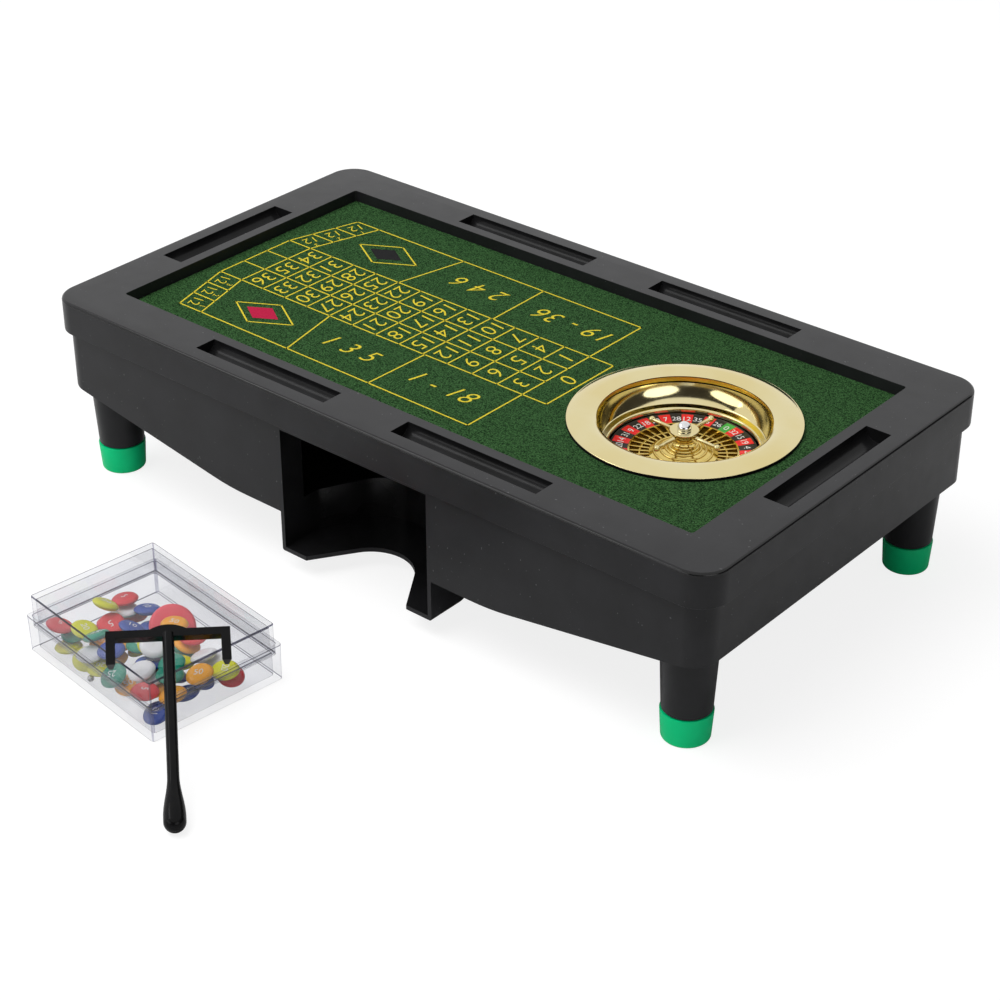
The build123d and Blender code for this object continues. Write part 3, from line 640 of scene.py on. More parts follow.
# --- table ---------------------------------------------------------------------------------------------
@dataclass
class Table:
    """The case, its playing frame, its legs and the screws under it."""

    finishes: Finishes
    centre_y: float
    leg_x: float = 147.5
    leg_y: float = 73.2
    cap_height: float = 12.2
    cap_foot: float = 9.06
    cap_top: float = 9.8
    leg_foot: float = 9.4
    leg_top: float = 10.85
    leg_shoulder: float = 44.0
    leg_gap: float = 0.3
    tenon_radius: float = 8.2
    tenon_top: float = 60.0
    cap_bore: float = 8.6
    cap_floor: float = 1.6
    top: float = 79.6
    trough_x: float = 51.35
    trough_reach: float = 34.5
    trough_width: float = 4.9
    trough_inset: float = 11.65
    end_trough_reach: float = 33.2
    end_trough_width: float = 5.4
    end_trough_inset: float = 12.25
    case_inset: float = 2.8
    pocket_half: float = 37.3
    pocket_depth: float = 47.0
    pocket_floor: float = 9.4
    trough_y: float = field(init=False)
    end_trough_x: float = field(init=False)
    low: Vector = field(init=False)
    high: Vector = field(init=False)

    SHADED_TROUGH = 1
    EDGE = 2
    SHADED_SKIRT = 3
    POCKET = 1

    def __post_init__(self) -> None:
        """Work out where the chip troughs lie."""
        low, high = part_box("table_top")
        self.low, self.high = low / MM, high / MM
        self.trough_y = (self.high.y - self.low.y) / 2 - self.trough_inset
        self.end_trough_x = (self.high.x - self.low.x) / 2 - self.end_trough_inset

    def case(self) -> None:
        """Ease and texture the moulded case and the frame round the table."""
        frame_piece = Workpiece("playing_frame", Body.TABLE)
        frame_piece.copy_of("table_top")
        frame_piece.paint(self.frame_part)
        frame_piece.finish(
            [self.finishes.frame_plastic, self.finishes.glossy_trough_painted_shade, self.finishes.glossy_edge_painted_shade,
             self.finishes.case_plastic],
            ("table_top",), "black_plastic", bevel=0.3,
        )
        case = Workpiece("moulded_case", Body.TABLE)
        case.copy_of("case_body")
        case.paint(self.case_part)
        case.finish(
            [self.finishes.case_plastic, self.finishes.pocket_plastic], ("case_body",), "black_plastic", bevel=0.4
        )

    def frame_part(self, face: Face, spot: Vector) -> int:
        """Tell a trough, the rounded edge and the skirt, each painted darker as painted shade, from the rest of the
        frame.

        Args:
            face: One of the frame's faces.
            spot: Its middle.

        Returns:
            Which of the frame's finishes it takes.
        """
        out_x, out_y = abs(spot.x), abs(spot.y - self.centre_y)
        side = abs(out_x - self.trough_x) < self.trough_reach and abs(out_y - self.trough_y) < self.trough_width
        end = abs(out_x - self.end_trough_x) < self.end_trough_width and out_y < self.end_trough_reach
        # Troughs take the glossier plastic, painted darker as painted shade.
        if spot.z < self.top - 0.2 and (side or end) and face.normal.z > -0.1:
            return self.SHADED_TROUGH
        # The rounded upper edge takes the polished black, painted darker as a painted dark reflection.
        if self.rounded(face, spot):
            return self.EDGE
        # The frame's upright skirt faces take the case's darker black, painted shade against the lit top.
        return self.SHADED_SKIRT if abs(face.normal.z) < 0.1 and self.from_edge(spot) < 0.5 else 0

    def case_part(self, face: Face, spot: Vector) -> int:
        """Tell the inside of the pocket from the rest of the case.

        Args:
            face: Not used.
            spot: Its middle.

        Returns:
            Which of the case's finishes it takes.
        """
        ahead = spot.y - self.low.y - self.case_inset
        inside = abs(spot.x) < self.pocket_half + 0.1 and 0.3 < ahead < self.pocket_depth
        return self.POCKET if inside and spot.z > self.pocket_floor else 0

    def from_edge(self, spot: Vector, corner: float = 12.0) -> float:
        """Measure how far a spot lies in from the frame's outline.

        Args:
            spot: A point of the frame.
            corner: The radius of the outline's corners.

        Returns:
            The distance in plan.
        """
        near_x = min(spot.x - self.low.x, self.high.x - spot.x)
        near_y = min(spot.y - self.low.y, self.high.y - spot.y)
        if near_x < corner and near_y < corner:
            return corner - math.hypot(corner - near_x, corner - near_y)
        return min(near_x, near_y)

    def rounded(self, face: Face, spot: Vector) -> bool:
        """Tell whether a face, with its middle, is part of the frame's rounded upper edge."""
        return spot.z > self.top - 1.25 and 0.03 < face.normal.z < 0.985 and self.from_edge(spot) < 1.4

    def legs(self) -> None:
        """Turn the four tapered legs and their green caps."""
        for across, x in (("left", -self.leg_x), ("right", self.leg_x)):
            for along, y in (("front", -self.leg_y), ("back", self.leg_y)):
                corner = f"{along}_{across}"
                centre = (x, self.centre_y + y)
                leg = Workpiece(f"tapered_{corner}_leg", Body.TABLE)
                low = self.cap_height + self.leg_gap
                leg.lathe(
                    [(0, low), (self.leg_foot - 0.3, low), (self.leg_foot, low + 0.3),
                     (self.leg_top, self.leg_shoulder), (self.tenon_radius, self.leg_shoulder),
                     (self.tenon_radius, self.tenon_top), (0, self.tenon_top)],
                    centre, 64, closed=False,
                )
                leg.close_up()
                leg.finish([self.finishes.leg_plastic], (f"leg_{corner}",), "black_plastic")
                cap = Workpiece(f"green_{corner}_cap", Body.TABLE)
                rise = (self.cap_top - self.cap_foot) / self.cap_height
                cap.lathe(
                    [(0, 0), (self.cap_foot - 0.9, 0), *arc((self.cap_foot - 0.9, 0), (self.cap_foot - 0.25, 0.28),
                     (self.cap_foot + rise, 1.0), 5)[1:], (self.cap_top, self.cap_height - 0.4),
                     (self.cap_top - 0.15, self.cap_height - 0.1), (self.cap_top - 0.45, self.cap_height),
                     (self.cap_bore, self.cap_height), (self.cap_bore, self.cap_floor), (0, self.cap_floor)],
                    centre, 64, closed=False,
                )
                cap.close_up()
                cap.finish([self.finishes.cap_plastic], (f"foot_cap_{corner}",), "green_plastic")

    def screws(self) -> None:
        """Give the screws their steel."""
        dress("frame_screws", self.finishes.steel)


def dress(node: str, *finishes: Material) -> None:
    """Give one of the set's own solids its finish.

    Args:
        node: Its name.
        finishes: Its materials.
    """
    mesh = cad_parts[node].data
    mesh.materials.clear()
    for finish in finishes:
        mesh.materials.append(finish)
    log.info("%s: dressed", node)


@dataclass
class Felt:
    """The felt mat and the betting layout printed on it."""

    finishes: Finishes
    stamp: Stamp
    centre_y: float
    length: float = 285.2
    width: float = 136.4
    top: float = 74.8
    thickness: float = 1.0
    hole_radius: float = 37.2
    turn: float = -0.45
    print_rise: float = 0.06
    line_width: float = 0.66
    grid_left: float = -123.0
    grid_right: float = 30.3
    grid_back: float = 17.9
    grid_front: float = -22.9
    outer_back: float = 50.9
    outer_front: float = -54.4
    spare_left: float = -135.5
    zero_right: float = 42.2
    corner_x: float = -126.4
    inner_corner_x: float = -113.7
    columns: int = 12
    figure_height: float = 7.3
    bet_height: float = 8.4
    corner_height: float = 5.0
    small_height: float = 2.6
    lean: float = 0.1
    bet_lean: float = 0.25
    thin: float = 0.009
    diamond_x: float = -93.4
    diamond_y: float = 36.6
    diamond_half: Point = (16.4, 9.6)
    fill_half: Point = (9.1, 5.6)

    CRIMSON = 1
    BLACK = 2
    BETS = (
        ("1 3 5", -44.5, -38.0, 0),
        ("1 - 18", 4.5, -38.3, 0),
        ("2 4 6", -42.0, 35.0, 180),
        ("19 - 36", 7.5, 34.5, 180),
    )

    def mat(self) -> None:
        """Cut the mat with its round hole."""
        piece = Workpiece("felt_cloth", Body.TABLE)
        piece.copy_of("felt_mat")
        cloth = piece.finish([self.finishes.felt], ("felt_mat",), "green_felt", bevel=0.25)

    def place(self, x: float, y: float, turned: float = 0.0) -> Matrix:
        """Where a mark lies on the felt.

        Args:
            x: Its place along the table from the middle.
            y: Its place across.
            turned: How far it is turned, in degrees.

        Returns:
            The matrix that puts it there.
        """
        layout = Matrix.Translation((0, self.centre_y, self.top + self.print_rise))
        return (
            layout
            @ Matrix.Rotation(math.radians(self.turn), 4, "Z")
            @ Matrix.Translation((x, y, 0))
            @ Matrix.Rotation(math.radians(turned), 4, "Z")
        )

    def line(self, piece: Workpiece, start: Point, end: Point) -> None:
        """Print a line.

        Args:
            piece: The print.
            start: Where it starts.
            end: Where it ends.
        """
        run = Vector(end) - Vector(start)
        middle = (Vector(start) + Vector(end)) / 2
        size = Matrix.Diagonal((run.length + self.line_width, self.line_width, 1, 1))
        where = self.place(middle.x, middle.y, math.degrees(math.atan2(run.y, run.x)))
        bmesh.ops.create_grid(piece.bm, x_segments=1, y_segments=1, size=0.5, matrix=where @ size)

    def run(self, piece: Workpiece, points: list[Point]) -> None:
        """Print a line through several points, in order."""
        for start, end in zip(points, points[1:]):
            self.line(piece, start, end)

    def figure(self, piece: Workpiece, text: str, height: float, spot: Point, turned: float) -> None:
        """Print a plain figure at a spot, turned by so many degrees."""
        piece.add(self.stamp.cut(text, height, 1.0, self.lean, self.thin), self.place(*spot, turned))

    def slant(self, inner: float, edge: float, share: float) -> tuple[Vector, Vector]:
        """Find the ends of a line across the slanting boxes at one corner.

        Args:
            inner: Where the boxes start, at the grid.
            edge: Where they end, at the layout's edge.
            share: How far along the boxes the line lies.

        Returns:
            Its outer end and its inner end.
        """
        out = Vector((self.spare_left, inner)).lerp(Vector((self.corner_x, edge)), share)
        into = Vector((self.grid_left, inner)).lerp(Vector((self.inner_corner_x, edge)), share)
        return out, into

    def grid(self, piece: Workpiece) -> None:
        """Print the grid and its numbers.

        Args:
            piece: The print.
        """
        pitch = (self.grid_right - self.grid_left) / self.columns
        row = (self.grid_back - self.grid_front) / 3
        for count in range(1, self.columns):
            x = self.grid_left + count * pitch
            self.line(piece, (x, self.grid_front), (x, self.grid_back))
        for count in range(4):
            y = self.grid_front + count * row
            right = self.grid_right if 0 < count < 3 else self.zero_right
            self.line(piece, (self.spare_left, y), (right, y))
        for x in (self.spare_left, self.grid_left, self.zero_right):
            self.line(piece, (x, self.grid_front), (x, self.grid_back))
        self.line(piece, (self.grid_right, self.outer_front), (self.grid_right, self.outer_back))
        for number in range(1, 3 * self.columns + 1):
            x = self.grid_left + (self.columns - 0.5 - (number - 1) // 3) * pitch
            y = self.grid_back - (0.5 + (number - 1) % 3) * row
            self.figure(piece, str(number), self.figure_height, (x, y), -90)
        self.figure(piece, "0", self.figure_height, ((self.grid_right + self.zero_right) / 2, -2.6), -90)

    def corner(self, piece: Workpiece, side: int, edge: float, inner: float) -> None:
        """Print the boxes along one side and the slanting ones at its corner.

        Args:
            piece: The print.
            side: One for the back and minus one for the front.
            edge: Where the layout ends on this side.
            inner: Where its grid ends.
        """
        self.run(piece, [(self.spare_left, inner), (self.corner_x, edge), (self.grid_right, edge)])
        self.line(piece, (self.grid_left, inner), (self.inner_corner_x, edge))
        self.line(piece, (-71.6, inner), (-64.6, edge))
        self.line(piece, (-19.8, inner), (-20.6, edge))
        for share in (1 / 3, 2 / 3):
            out, into = self.slant(inner, edge, share)
            self.line(piece, tuple(out), tuple(into))
        turned = -90 + side * -15
        for count in range(3):
            out, into = self.slant(inner, edge, (count + 0.5) / 3)
            spot, small = out.lerp(into, 0.42), out.lerp(into, 0.84)
            self.figure(piece, "12", self.corner_height, tuple(spot), turned)
            number = self.stamp.cut(str(3 - count), self.small_height)
            piece.add(number, self.place(small.x, small.y - 1.2, turned))

    def diamond(self, piece: Workpiece, side: int) -> None:
        """Print the diamond on one side, with its filled middle.

        Args:
            piece: The print.
            side: One for the back and minus one for the front.
        """
        x, y = self.diamond_x, side * self.diamond_y - 1.9
        reach, rise = self.diamond_half
        self.run(piece, [(x - reach, y), (x, y + rise), (x + reach, y), (x, y - rise), (x - reach, y)])
        fill_place = self.place(x - 0.8, y - 0.3) @ Matrix.Diagonal((*self.fill_half, 1, 1))
        old = set(piece.bm.faces)
        bmesh.ops.create_circle(piece.bm, cap_ends=True, segments=4, radius=1, matrix=fill_place)
        for face in piece.bm.faces:
            if face not in old:
                face.material_index = self.CRIMSON if side < 0 else self.BLACK

    def layout(self) -> None:
        """Print the layout: the grid of numbers, the side boxes and their numbers."""
        piece = Workpiece("betting_layout", Body.TABLE)
        self.grid(piece)
        for side, edge, inner in ((1, self.outer_back, self.grid_back), (-1, self.outer_front, self.grid_front)):
            self.corner(piece, side, edge, inner)
            self.diamond(piece, side)
        for text, x, y, turned in self.BETS:
            piece.add(self.stamp.cut(text, self.bet_height, 1.1, self.bet_lean, self.thin), self.place(x, y, turned))
        printed = piece.finish(
            [self.finishes.yellow_print, self.finishes.crimson_print, self.finishes.black_print], crease=80
        )


@dataclass
class Wheel:
    """The gilt wheel: the fixed rim and bowl, and all that turns in them."""

    finishes: Finishes
    stamp: Stamp
    centre: Point
    felt_top: float = 74.8
    neck_bottom: float = 73.6
    ring_outer: float = 28.1
    cell_outer: float = 27.4
    ring_inner: float = 21.0
    ring_top_outer: float = 62.6
    ring_top_inner: float = 62.1
    first_cell: float = 84.0
    bore: float = 1.56
    fret_floor: float = 60.15
    cone_foot: float = 61.45
    collar_top: float = 62.4
    turret_foot: float = 64.55
    turret_top: float = 71.3
    flange: float = 44.4
    flange_eased: float = 43.95
    lip: float = 33.0
    neck: float = 33.9
    neck_outer: float = 36.9
    collar: float = 20.95
    collar_inner: float = 20.3
    fret_inner: float = 13.0
    fret_length: float = 7.3
    fret_width: float = 0.9
    bowl_floor: float = 57.9
    number_height: float = 2.7
    knob_radius: float = 2.75

    CONE = (13.0, 10.6, 8.2, 6.2, 5.0)
    STEPS = (0.9, 0.8, 0.7, 0.7)
    # The first and third slots are painted shade: the groove under the lip and the flange's upright edge.
    SHADE, NECK, GAP = 1, 2, 3
    RED, GREEN, FIGURE = 1, 2, 3
    ORDER = (0, 32, 15, 19, 4, 21, 2, 25, 17, 34, 6, 27, 13, 36, 11, 30, 8, 23, 10, 5, 24, 16, 33, 1, 20, 14, 31, 9,
             22, 18, 29, 7, 28, 12, 35, 3, 26)

    def out(self, spot: Vector) -> float:
        """Measure how far a spot lies from the wheel's axis, in plan."""
        return math.hypot(spot.x - self.centre[0], spot.y - self.centre[1])

    def rim(self) -> None:
        """Turn the broad flange and its rolled inner lip."""
        top, low = self.felt_top + 3.1, self.neck_bottom
        piece = Workpiece("gilt_rim", Body.TABLE)
        crown = arc((self.flange_eased, self.felt_top + 1.42), (41.0, top - 0.53), (37.8, top), 16)
        lip = arc((37.8, top), (35.4, top - 0.4), (self.lip, top - 1.75), 14)
        edge = arc(
            (self.flange, self.felt_top + 1.0), (44.29, self.felt_top + 1.3),
            (self.flange_eased, self.felt_top + 1.42), 5,
        )
        piece.lathe(
            [*edge[:-1], *crown[:-1], *lip, (self.lip + 0.1, top - 2.2), (self.neck, low), (self.neck_outer, low),
             (self.neck_outer, self.felt_top), (self.flange, self.felt_top), (self.flange, self.felt_top + 0.5)],
            self.centre, 144,
        )
        piece.close_up()
        piece.paint(self.rim_part)
        piece.finish(
            [self.finishes.gold, self.finishes.painted_shade_gold, self.finishes.neck_gold, self.finishes.painted_shadow],
            ("wheel_rim",), "gold_plated", crease=40,
        )

    def rim_part(self, _face: Face, spot: Vector) -> int:
        """Tell the flange's upright edge and the groove under the lip, both painted dark as painted shade, and the
        neck from the rest of the rim.

        Args:
            _face: Not used.
            spot: Its middle.

        Returns:
            Which of the rim's finishes it takes.
        """
        top, out = self.felt_top + 3.1, self.out(spot)
        # The flange's upright edge is painted near-black as painted shadow.
        if out > self.flange - 0.2 and spot.z < self.felt_top + 1.2:
            return self.GAP
        if out < self.neck + 0.1 and self.neck_bottom < spot.z < top - 1.75:
            # The groove just under the lip is painted dark gold as painted shade.
            return self.SHADE if spot.z > top - 2.2 else self.NECK
        return 0

    def bowl(self) -> None:
        """Turn the hollow wall, the flat track and the well under the rotor."""
        low = self.neck_bottom
        piece = Workpiece("gilt_bowl", Body.TABLE)
        wall = arc((31.2, low - 8.3), (33.2, low - 4.8), (34.5, low - 1.0), 18)
        roll = arc((28.6, low - 9.9), (28.88, low - 9.22), (29.55, low - 8.92), 6)
        piece.lathe(
            [*wall, (35.8, low - 1.0), (35.8, low), (self.neck_outer, low), (self.neck_outer, low - 4.8),
             (32.7, low - 9.8), (30.1, low - 10.3), (30.1, 56.4), (3.6, 56.4), (3.6, 54.9), (1.5, 54.9), (1.5, 58.5),
             (3.6, 58.5), (3.6, self.bowl_floor), (28.6, self.bowl_floor), *roll, (31.0, low - 8.36)],
            self.centre, 144,
        )
        piece.close_up()
        # The groove at the top of the bowl wall is painted near-black as painted shadow.
        piece.paint(lambda _, spot: int(34.5 < self.out(spot) < self.neck_outer - 0.1 and spot.z > low - 1.1))
        piece.finish([self.finishes.gold, self.finishes.painted_shadow], ("wheel_bowl",), "gold_plated", crease=40)
        dress("spindle", self.finishes.steel)

    def ring(self) -> None:
        """Print the ring of numbered cells."""
        x, y = self.centre
        piece = Workpiece("numbered_ring", Body.ROTOR)
        profile = [
            (self.ring_inner, self.ring_top_inner), (self.cell_outer, 62.55), (self.ring_outer, self.ring_top_outer),
            (self.ring_outer, 62.32), (self.ring_inner, 61.82),
        ]
        cell = math.tau / len(self.ORDER)
        start = math.radians(self.first_cell) + cell / 2
        verts = [piece.bm.verts.new((x + r * math.cos(start), y + r * math.sin(start), z)) for r, z in profile]
        edges = [piece.bm.edges.new(pair) for pair in zip(verts, [*verts[1:], verts[0]])]
        bmesh.ops.spin(
            piece.bm, geom=verts + edges, cent=(x, y, 0), axis=(0, 0, -1), dvec=(0, 0, 0), angle=math.tau,
            steps=len(self.ORDER) * 5, use_merge=True, use_duplicate=False,
        )
        piece.close_up()
        for face in piece.bm.faces:
            spot = face.calc_center_median() - Vector((x, y, 0))
            turn = (start - math.atan2(spot.y, spot.x)) % math.tau
            index = int(turn / cell) % len(self.ORDER)
            inside = math.hypot(spot.x, spot.y) < self.cell_outer and face.normal.z > 0.5
            if inside and index == 0:
                face.material_index = self.GREEN
            elif inside and index % 2:
                face.material_index = self.RED
        middle = (self.ring_inner + self.cell_outer) / 2 + 0.1
        slope = math.atan2(0.45, self.cell_outer - self.ring_inner)
        for index, number in enumerate(self.ORDER):
            turn = math.radians(self.first_cell) - index * cell
            place = (
                Matrix.Translation((x, y, 62.34))
                @ Matrix.Rotation(turn, 4, "Z")
                @ Matrix.Translation((middle, 0, 0.03))
                @ Matrix.Rotation(-slope, 4, "Y")
                @ Matrix.Rotation(math.radians(-90), 4, "Z")
            )
            piece.add(self.stamp.cut(str(number), self.number_height, 0.94), place, self.FIGURE)
        piece.finish(
            [self.finishes.cell_black, self.finishes.cell_red, self.finishes.cell_green, self.finishes.white_print],
            ("number_ring",), "printed_ring", crease=60,
        )

    def rotor(self) -> None:
        """Turn the rotor's cone and collar and stand its frets in them."""
        x, y = self.centre
        piece = Workpiece("fretted_rotor", Body.ROTOR)
        cone, height = [], self.cone_foot
        for outer, inner, step in zip(self.CONE, self.CONE[1:], self.STEPS):
            cone.append((outer, height - 0.15))
            height += step
            cone += arc((inner + 0.95, height - 0.4), (inner + 0.4, height + 0.22), (inner, height - 0.1), 8)
        piece.lathe(
            [(self.bore, 58.75), (4.1, 58.75), (4.1, 58.15), (self.ring_outer, 58.15), (self.ring_outer, 62.3),
             (self.ring_inner, 61.8), (self.collar, 61.8), (self.collar, self.collar_top),
             (self.collar_inner, self.collar_top), (self.collar_inner, self.fret_floor),
             (self.fret_inner, self.fret_floor), *cone, (4.95, height), (self.bore, height)],
            self.centre, 148,
        )
        piece.close_up()
        piece.paint(self.rotor_part)
        ridge = self.fret_floor + 1.0
        piece.lathe(
            [(16.15, self.fret_floor), (16.15, ridge - 0.1), (16.3, ridge), (16.7, ridge), (16.85, ridge - 0.1),
             (16.85, self.fret_floor)],
            self.centre, 148,
        )
        middle, rise = (self.fret_inner + self.collar_inner) / 2, self.cone_foot - self.fret_floor
        for count in range(len(self.ORDER)):
            place = (
                Matrix.Translation((x, y, self.fret_floor + rise / 2))
                @ Matrix.Rotation(math.tau * count / len(self.ORDER), 4, "Z")
                @ Matrix.Translation((middle, 0, 0))
            )
            size = Matrix.Diagonal((self.fret_length, self.fret_width, rise, 1))
            bar = bmesh.ops.create_cube(piece.bm, size=1.0, matrix=place @ size)
            rims = dict.fromkeys(e for v in bar["verts"] for e in v.link_edges)
            upper = [e for e in rims if min(v.co.z for v in e.verts) > self.fret_floor + rise / 2]
            bmesh.ops.bevel(
                piece.bm, geom=upper, offset=0.2, offset_type="OFFSET", segments=2, profile=0.5, affect="EDGES",
                clamp_overlap=True, material=-1,
            )
        piece.finish([self.finishes.worked_gold, self.finishes.painted_shade_gold], ("rotor",), "gold_plated", crease=28)

    def rotor_part(self, face: Face, spot: Vector) -> int:
        """Tell the floor between the frets, painted dark gold as painted shade, from the rest of the rotor."""
        deep = self.fret_inner < self.out(spot) < self.collar_inner and abs(spot.z - self.fret_floor) < 0.05
        return self.SHADE if deep and face.normal.z > 0.7 else 0

    def arms(self) -> None:
        """Plate the turret's four arms."""
        arms = Workpiece("turret_handles", Body.ROTOR)
        arms.copy_of("turret_arms")
        arms.finish([self.finishes.gold], ("turret_arms",), "gold_plated", crease=50)

    def turret(self) -> None:
        """Turn the turret: its foot, waist and plate."""
        foot, plate = self.turret_foot, self.turret_top - 0.8
        piece = Workpiece("turned_turret", Body.ROTOR)
        waist = arc((4.3, foot + 0.8), (3.05, foot + 2.4), (4.1, foot + 4.0), 14)
        piece.lathe(
            [(self.bore, foot), (4.6, foot), (4.6, foot + 0.6), (4.45, foot + 0.8), *waist, (4.1, foot + 4.2),
             (2.9, foot + 4.2), (2.9, plate), (5.4, plate), (5.6, plate + 0.15), (5.6, self.turret_top - 0.2),
             (5.45, self.turret_top), (self.bore, self.turret_top)],
            self.centre, 96,
        )
        piece.close_up()
        piece.paint(lambda _, spot: int(spot.z < plate - 0.05))
        piece.finish([self.finishes.gold, self.finishes.worked_gold], ("turret",), "gold_plated", crease=30)

    def knob(self) -> None:
        """Turn the chromed knob."""
        low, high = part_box("turret_ball")
        base, top = low.z / MM, high.z / MM
        piece = Workpiece("chromed_knob", Body.ROTOR)
        radius = self.knob_radius
        middle = top - radius
        reach = math.sqrt(max(radius**2 - (base - middle) ** 2, 0))
        profile = arc((reach, base), (radius * 0.9997, middle + 0.05), (0.0001, top), 16)
        piece.lathe([(0, base), *profile[:-1], (0, top)], self.centre, 48, closed=False)
        piece.close_up()
        piece.finish([self.finishes.chrome], ("turret_ball",), "chrome_plated", crease=50)


@dataclass
class ChipBox:
    """The clear box with its lid, the heap of chips, the marker disc and the two balls."""

    finishes: Finishes
    stamp: Stamp
    radius: float = 5.25
    half: float = 1.4
    face: float = 3.5
    number_height: float = 2.6
    turn: float = -7.33
    marker: tuple[float, float, float] = (8.9, 1.5, 7.6)
    ball_radius: float = 1.25
    spin_step: float = 47
    spin_start: float = 20

    CORNER = 2

    COLOURS = (
        ChipColour("blue", Colour.CHIP_BLUE, "10"),
        ChipColour("orange", Colour.CHIP_ORANGE, "50"),
        ChipColour("yellow", Colour.CHIP_YELLOW, "20"),
        ChipColour("red", Colour.CHIP_RED, "5"),
        ChipColour("white", Colour.CHIP_WHITE, "1"),
        ChipColour("green", Colour.CHIP_GREEN, "25"),
    )

    def box(self) -> None:
        """Clear and ease the two mouldings."""
        for name, node, body in (("clear_base", "chip_box_base", Body.BOX), ("clear_lid", "chip_box_lid", Body.LID)):
            piece = Workpiece(name, body)
            piece.copy_of(node)
            piece.paint(self.box_part)
            made = piece.finish(
                [self.finishes.clear, self.finishes.clear_painted_edge_shade, self.finishes.clear_painted_corner_shade], (node,), "clear_plastic",
                bevel=0.5,
            )
            # The eased edges take the darker tint as painted shade.
            made.modifiers["eased_edges"].material = 1

    def box_part(self, face: Face, _spot: Vector) -> int:
        """Tell the rounded corners of the box, tinted darker as painted shade, from its flat walls."""
        way = Matrix.Rotation(math.radians(-self.turn), 3, "Z") @ face.normal
        return self.CORNER if min(abs(way.x), abs(way.y)) > 0.5 else 0

    def discs(self, node: str) -> list[Matrix]:
        """Find where each disc of a colour lies.

        Args:
            node: The solid that holds that colour's discs.

        Returns:
            For each disc, the matrix that puts a flat one there.
        """
        bm = bmesh.new()
        bm.from_mesh(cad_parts[node].data)
        bmesh.ops.transform(bm, matrix=Matrix.Scale(1 / MM, 4), verts=bm.verts)
        bmesh.ops.remove_doubles(bm, verts=bm.verts, dist=0.01)
        bm.normal_update()
        left, places = set(bm.verts), []
        while left:
            heap = [min(left, key=lambda v: v.index)]
            found = dict.fromkeys(heap)
            while heap:
                for edge in heap.pop().link_edges:
                    for vert in edge.verts:
                        if vert not in found:
                            found[vert] = None
                            heap.append(vert)
            left.difference_update(found)
            middle = sum((v.co for v in found), Vector()) / len(found)
            faces = dict.fromkeys(f for v in found for f in v.link_faces)
            normals: dict[tuple[float, float, float], float] = {}
            for f in faces:
                key = tuple(round(c, 2) for c in f.normal)
                normals[key] = normals.get(key, 0.0) + f.calc_area()
            normal = Vector(max(normals, key=lambda k: (round(normals[k], 1), k[2]))).normalized()
            if normal.z < 0:
                normal = -normal
            turned = Vector((0, 0, 1)).rotation_difference(normal).to_matrix().to_4x4()
            places.append(Matrix.Translation(middle) @ turned)
        bm.free()
        return places

    def chip_mesh(self, radius: float, half: float, face: float) -> bpy.types.Mesh:
        """Turn one domed disc.

        Args:
            radius: Its radius.
            half: Half its thickness.
            face: The radius of its nearly flat face.

        Returns:
            Its mesh, in millimetres, about the origin.
        """
        piece = Workpiece("disc", Body.BOX)
        shoulder = arc((face, half - 0.04), ((face + radius) / 2 + 0.22, half * 0.62), (radius, 0), 6)
        upper = [(0, half), (face * 0.6, half - 0.01), *shoulder]
        lower = [(r, -z) for r, z in reversed(upper[:-1])]
        piece.lathe([*upper, *lower], (0, 0), 32, closed=False)
        piece.close_up()
        return mesh_of("disc", piece.bm)

    def heap(self) -> None:
        """Fill the box with numbered chips, each where its solid lies."""
        disc = self.chip_mesh(self.radius, self.half, self.face)
        flip = Matrix.Rotation(math.pi, 4, "X")
        for colour in self.COLOURS:
            piece = Workpiece(f"{colour.node}_chips", Body.BOX)
            for count, place in enumerate(self.discs(f"chips_{colour.node}")):
                piece.add(disc, place)
                spun = Matrix.Rotation(math.radians(self.spin_step * count + self.spin_start), 4, "Z")
                number = self.stamp.cut(colour.number, self.number_height)
                up = Matrix.Translation((0, 0, self.half + 0.03))
                for side in (Matrix(), flip):
                    piece.add(number, place @ side @ spun @ up, 1)
            piece.finish(
                [colour.make(), self.finishes.white_print], (f"chips_{colour.node}",), f"{colour.node}_plastic",
                crease=60,
            )

    def loose(self) -> None:
        """Make the big marker disc and the two steel balls."""
        piece = Workpiece("big_marker", Body.BOX)
        place = self.discs("marker_disc")[0]
        piece.add(self.chip_mesh(*self.marker), place)
        pink = Finish("marker_plastic", Colour.MARKER_PINK, Colour.CHIP_RED, 0.3, patch_scale=40)
        piece.finish([pink.make()], ("marker_disc",), "red_plastic", crease=60)
        balls = Workpiece("bright_balls", Body.BOX)
        for place in self.discs("steel_balls"):
            bmesh.ops.create_uvsphere(balls.bm, u_segments=24, v_segments=16, radius=self.ball_radius, matrix=place)
        balls.finish([self.finishes.steel], ("steel_balls",), "ball_steel", crease=60)


@dataclass
class Rake:
    """The croupier's rake that leans on the box."""

    finishes: Finishes

    def build(self) -> None:
        """Ease and polish the rake."""
        piece = Workpiece("polished_rake", Body.RAKE)
        piece.copy_of("croupier_rake")
        piece.finish([self.finishes.rake_plastic], ("croupier_rake",), "black_plastic", crease=38, bevel=0.3)


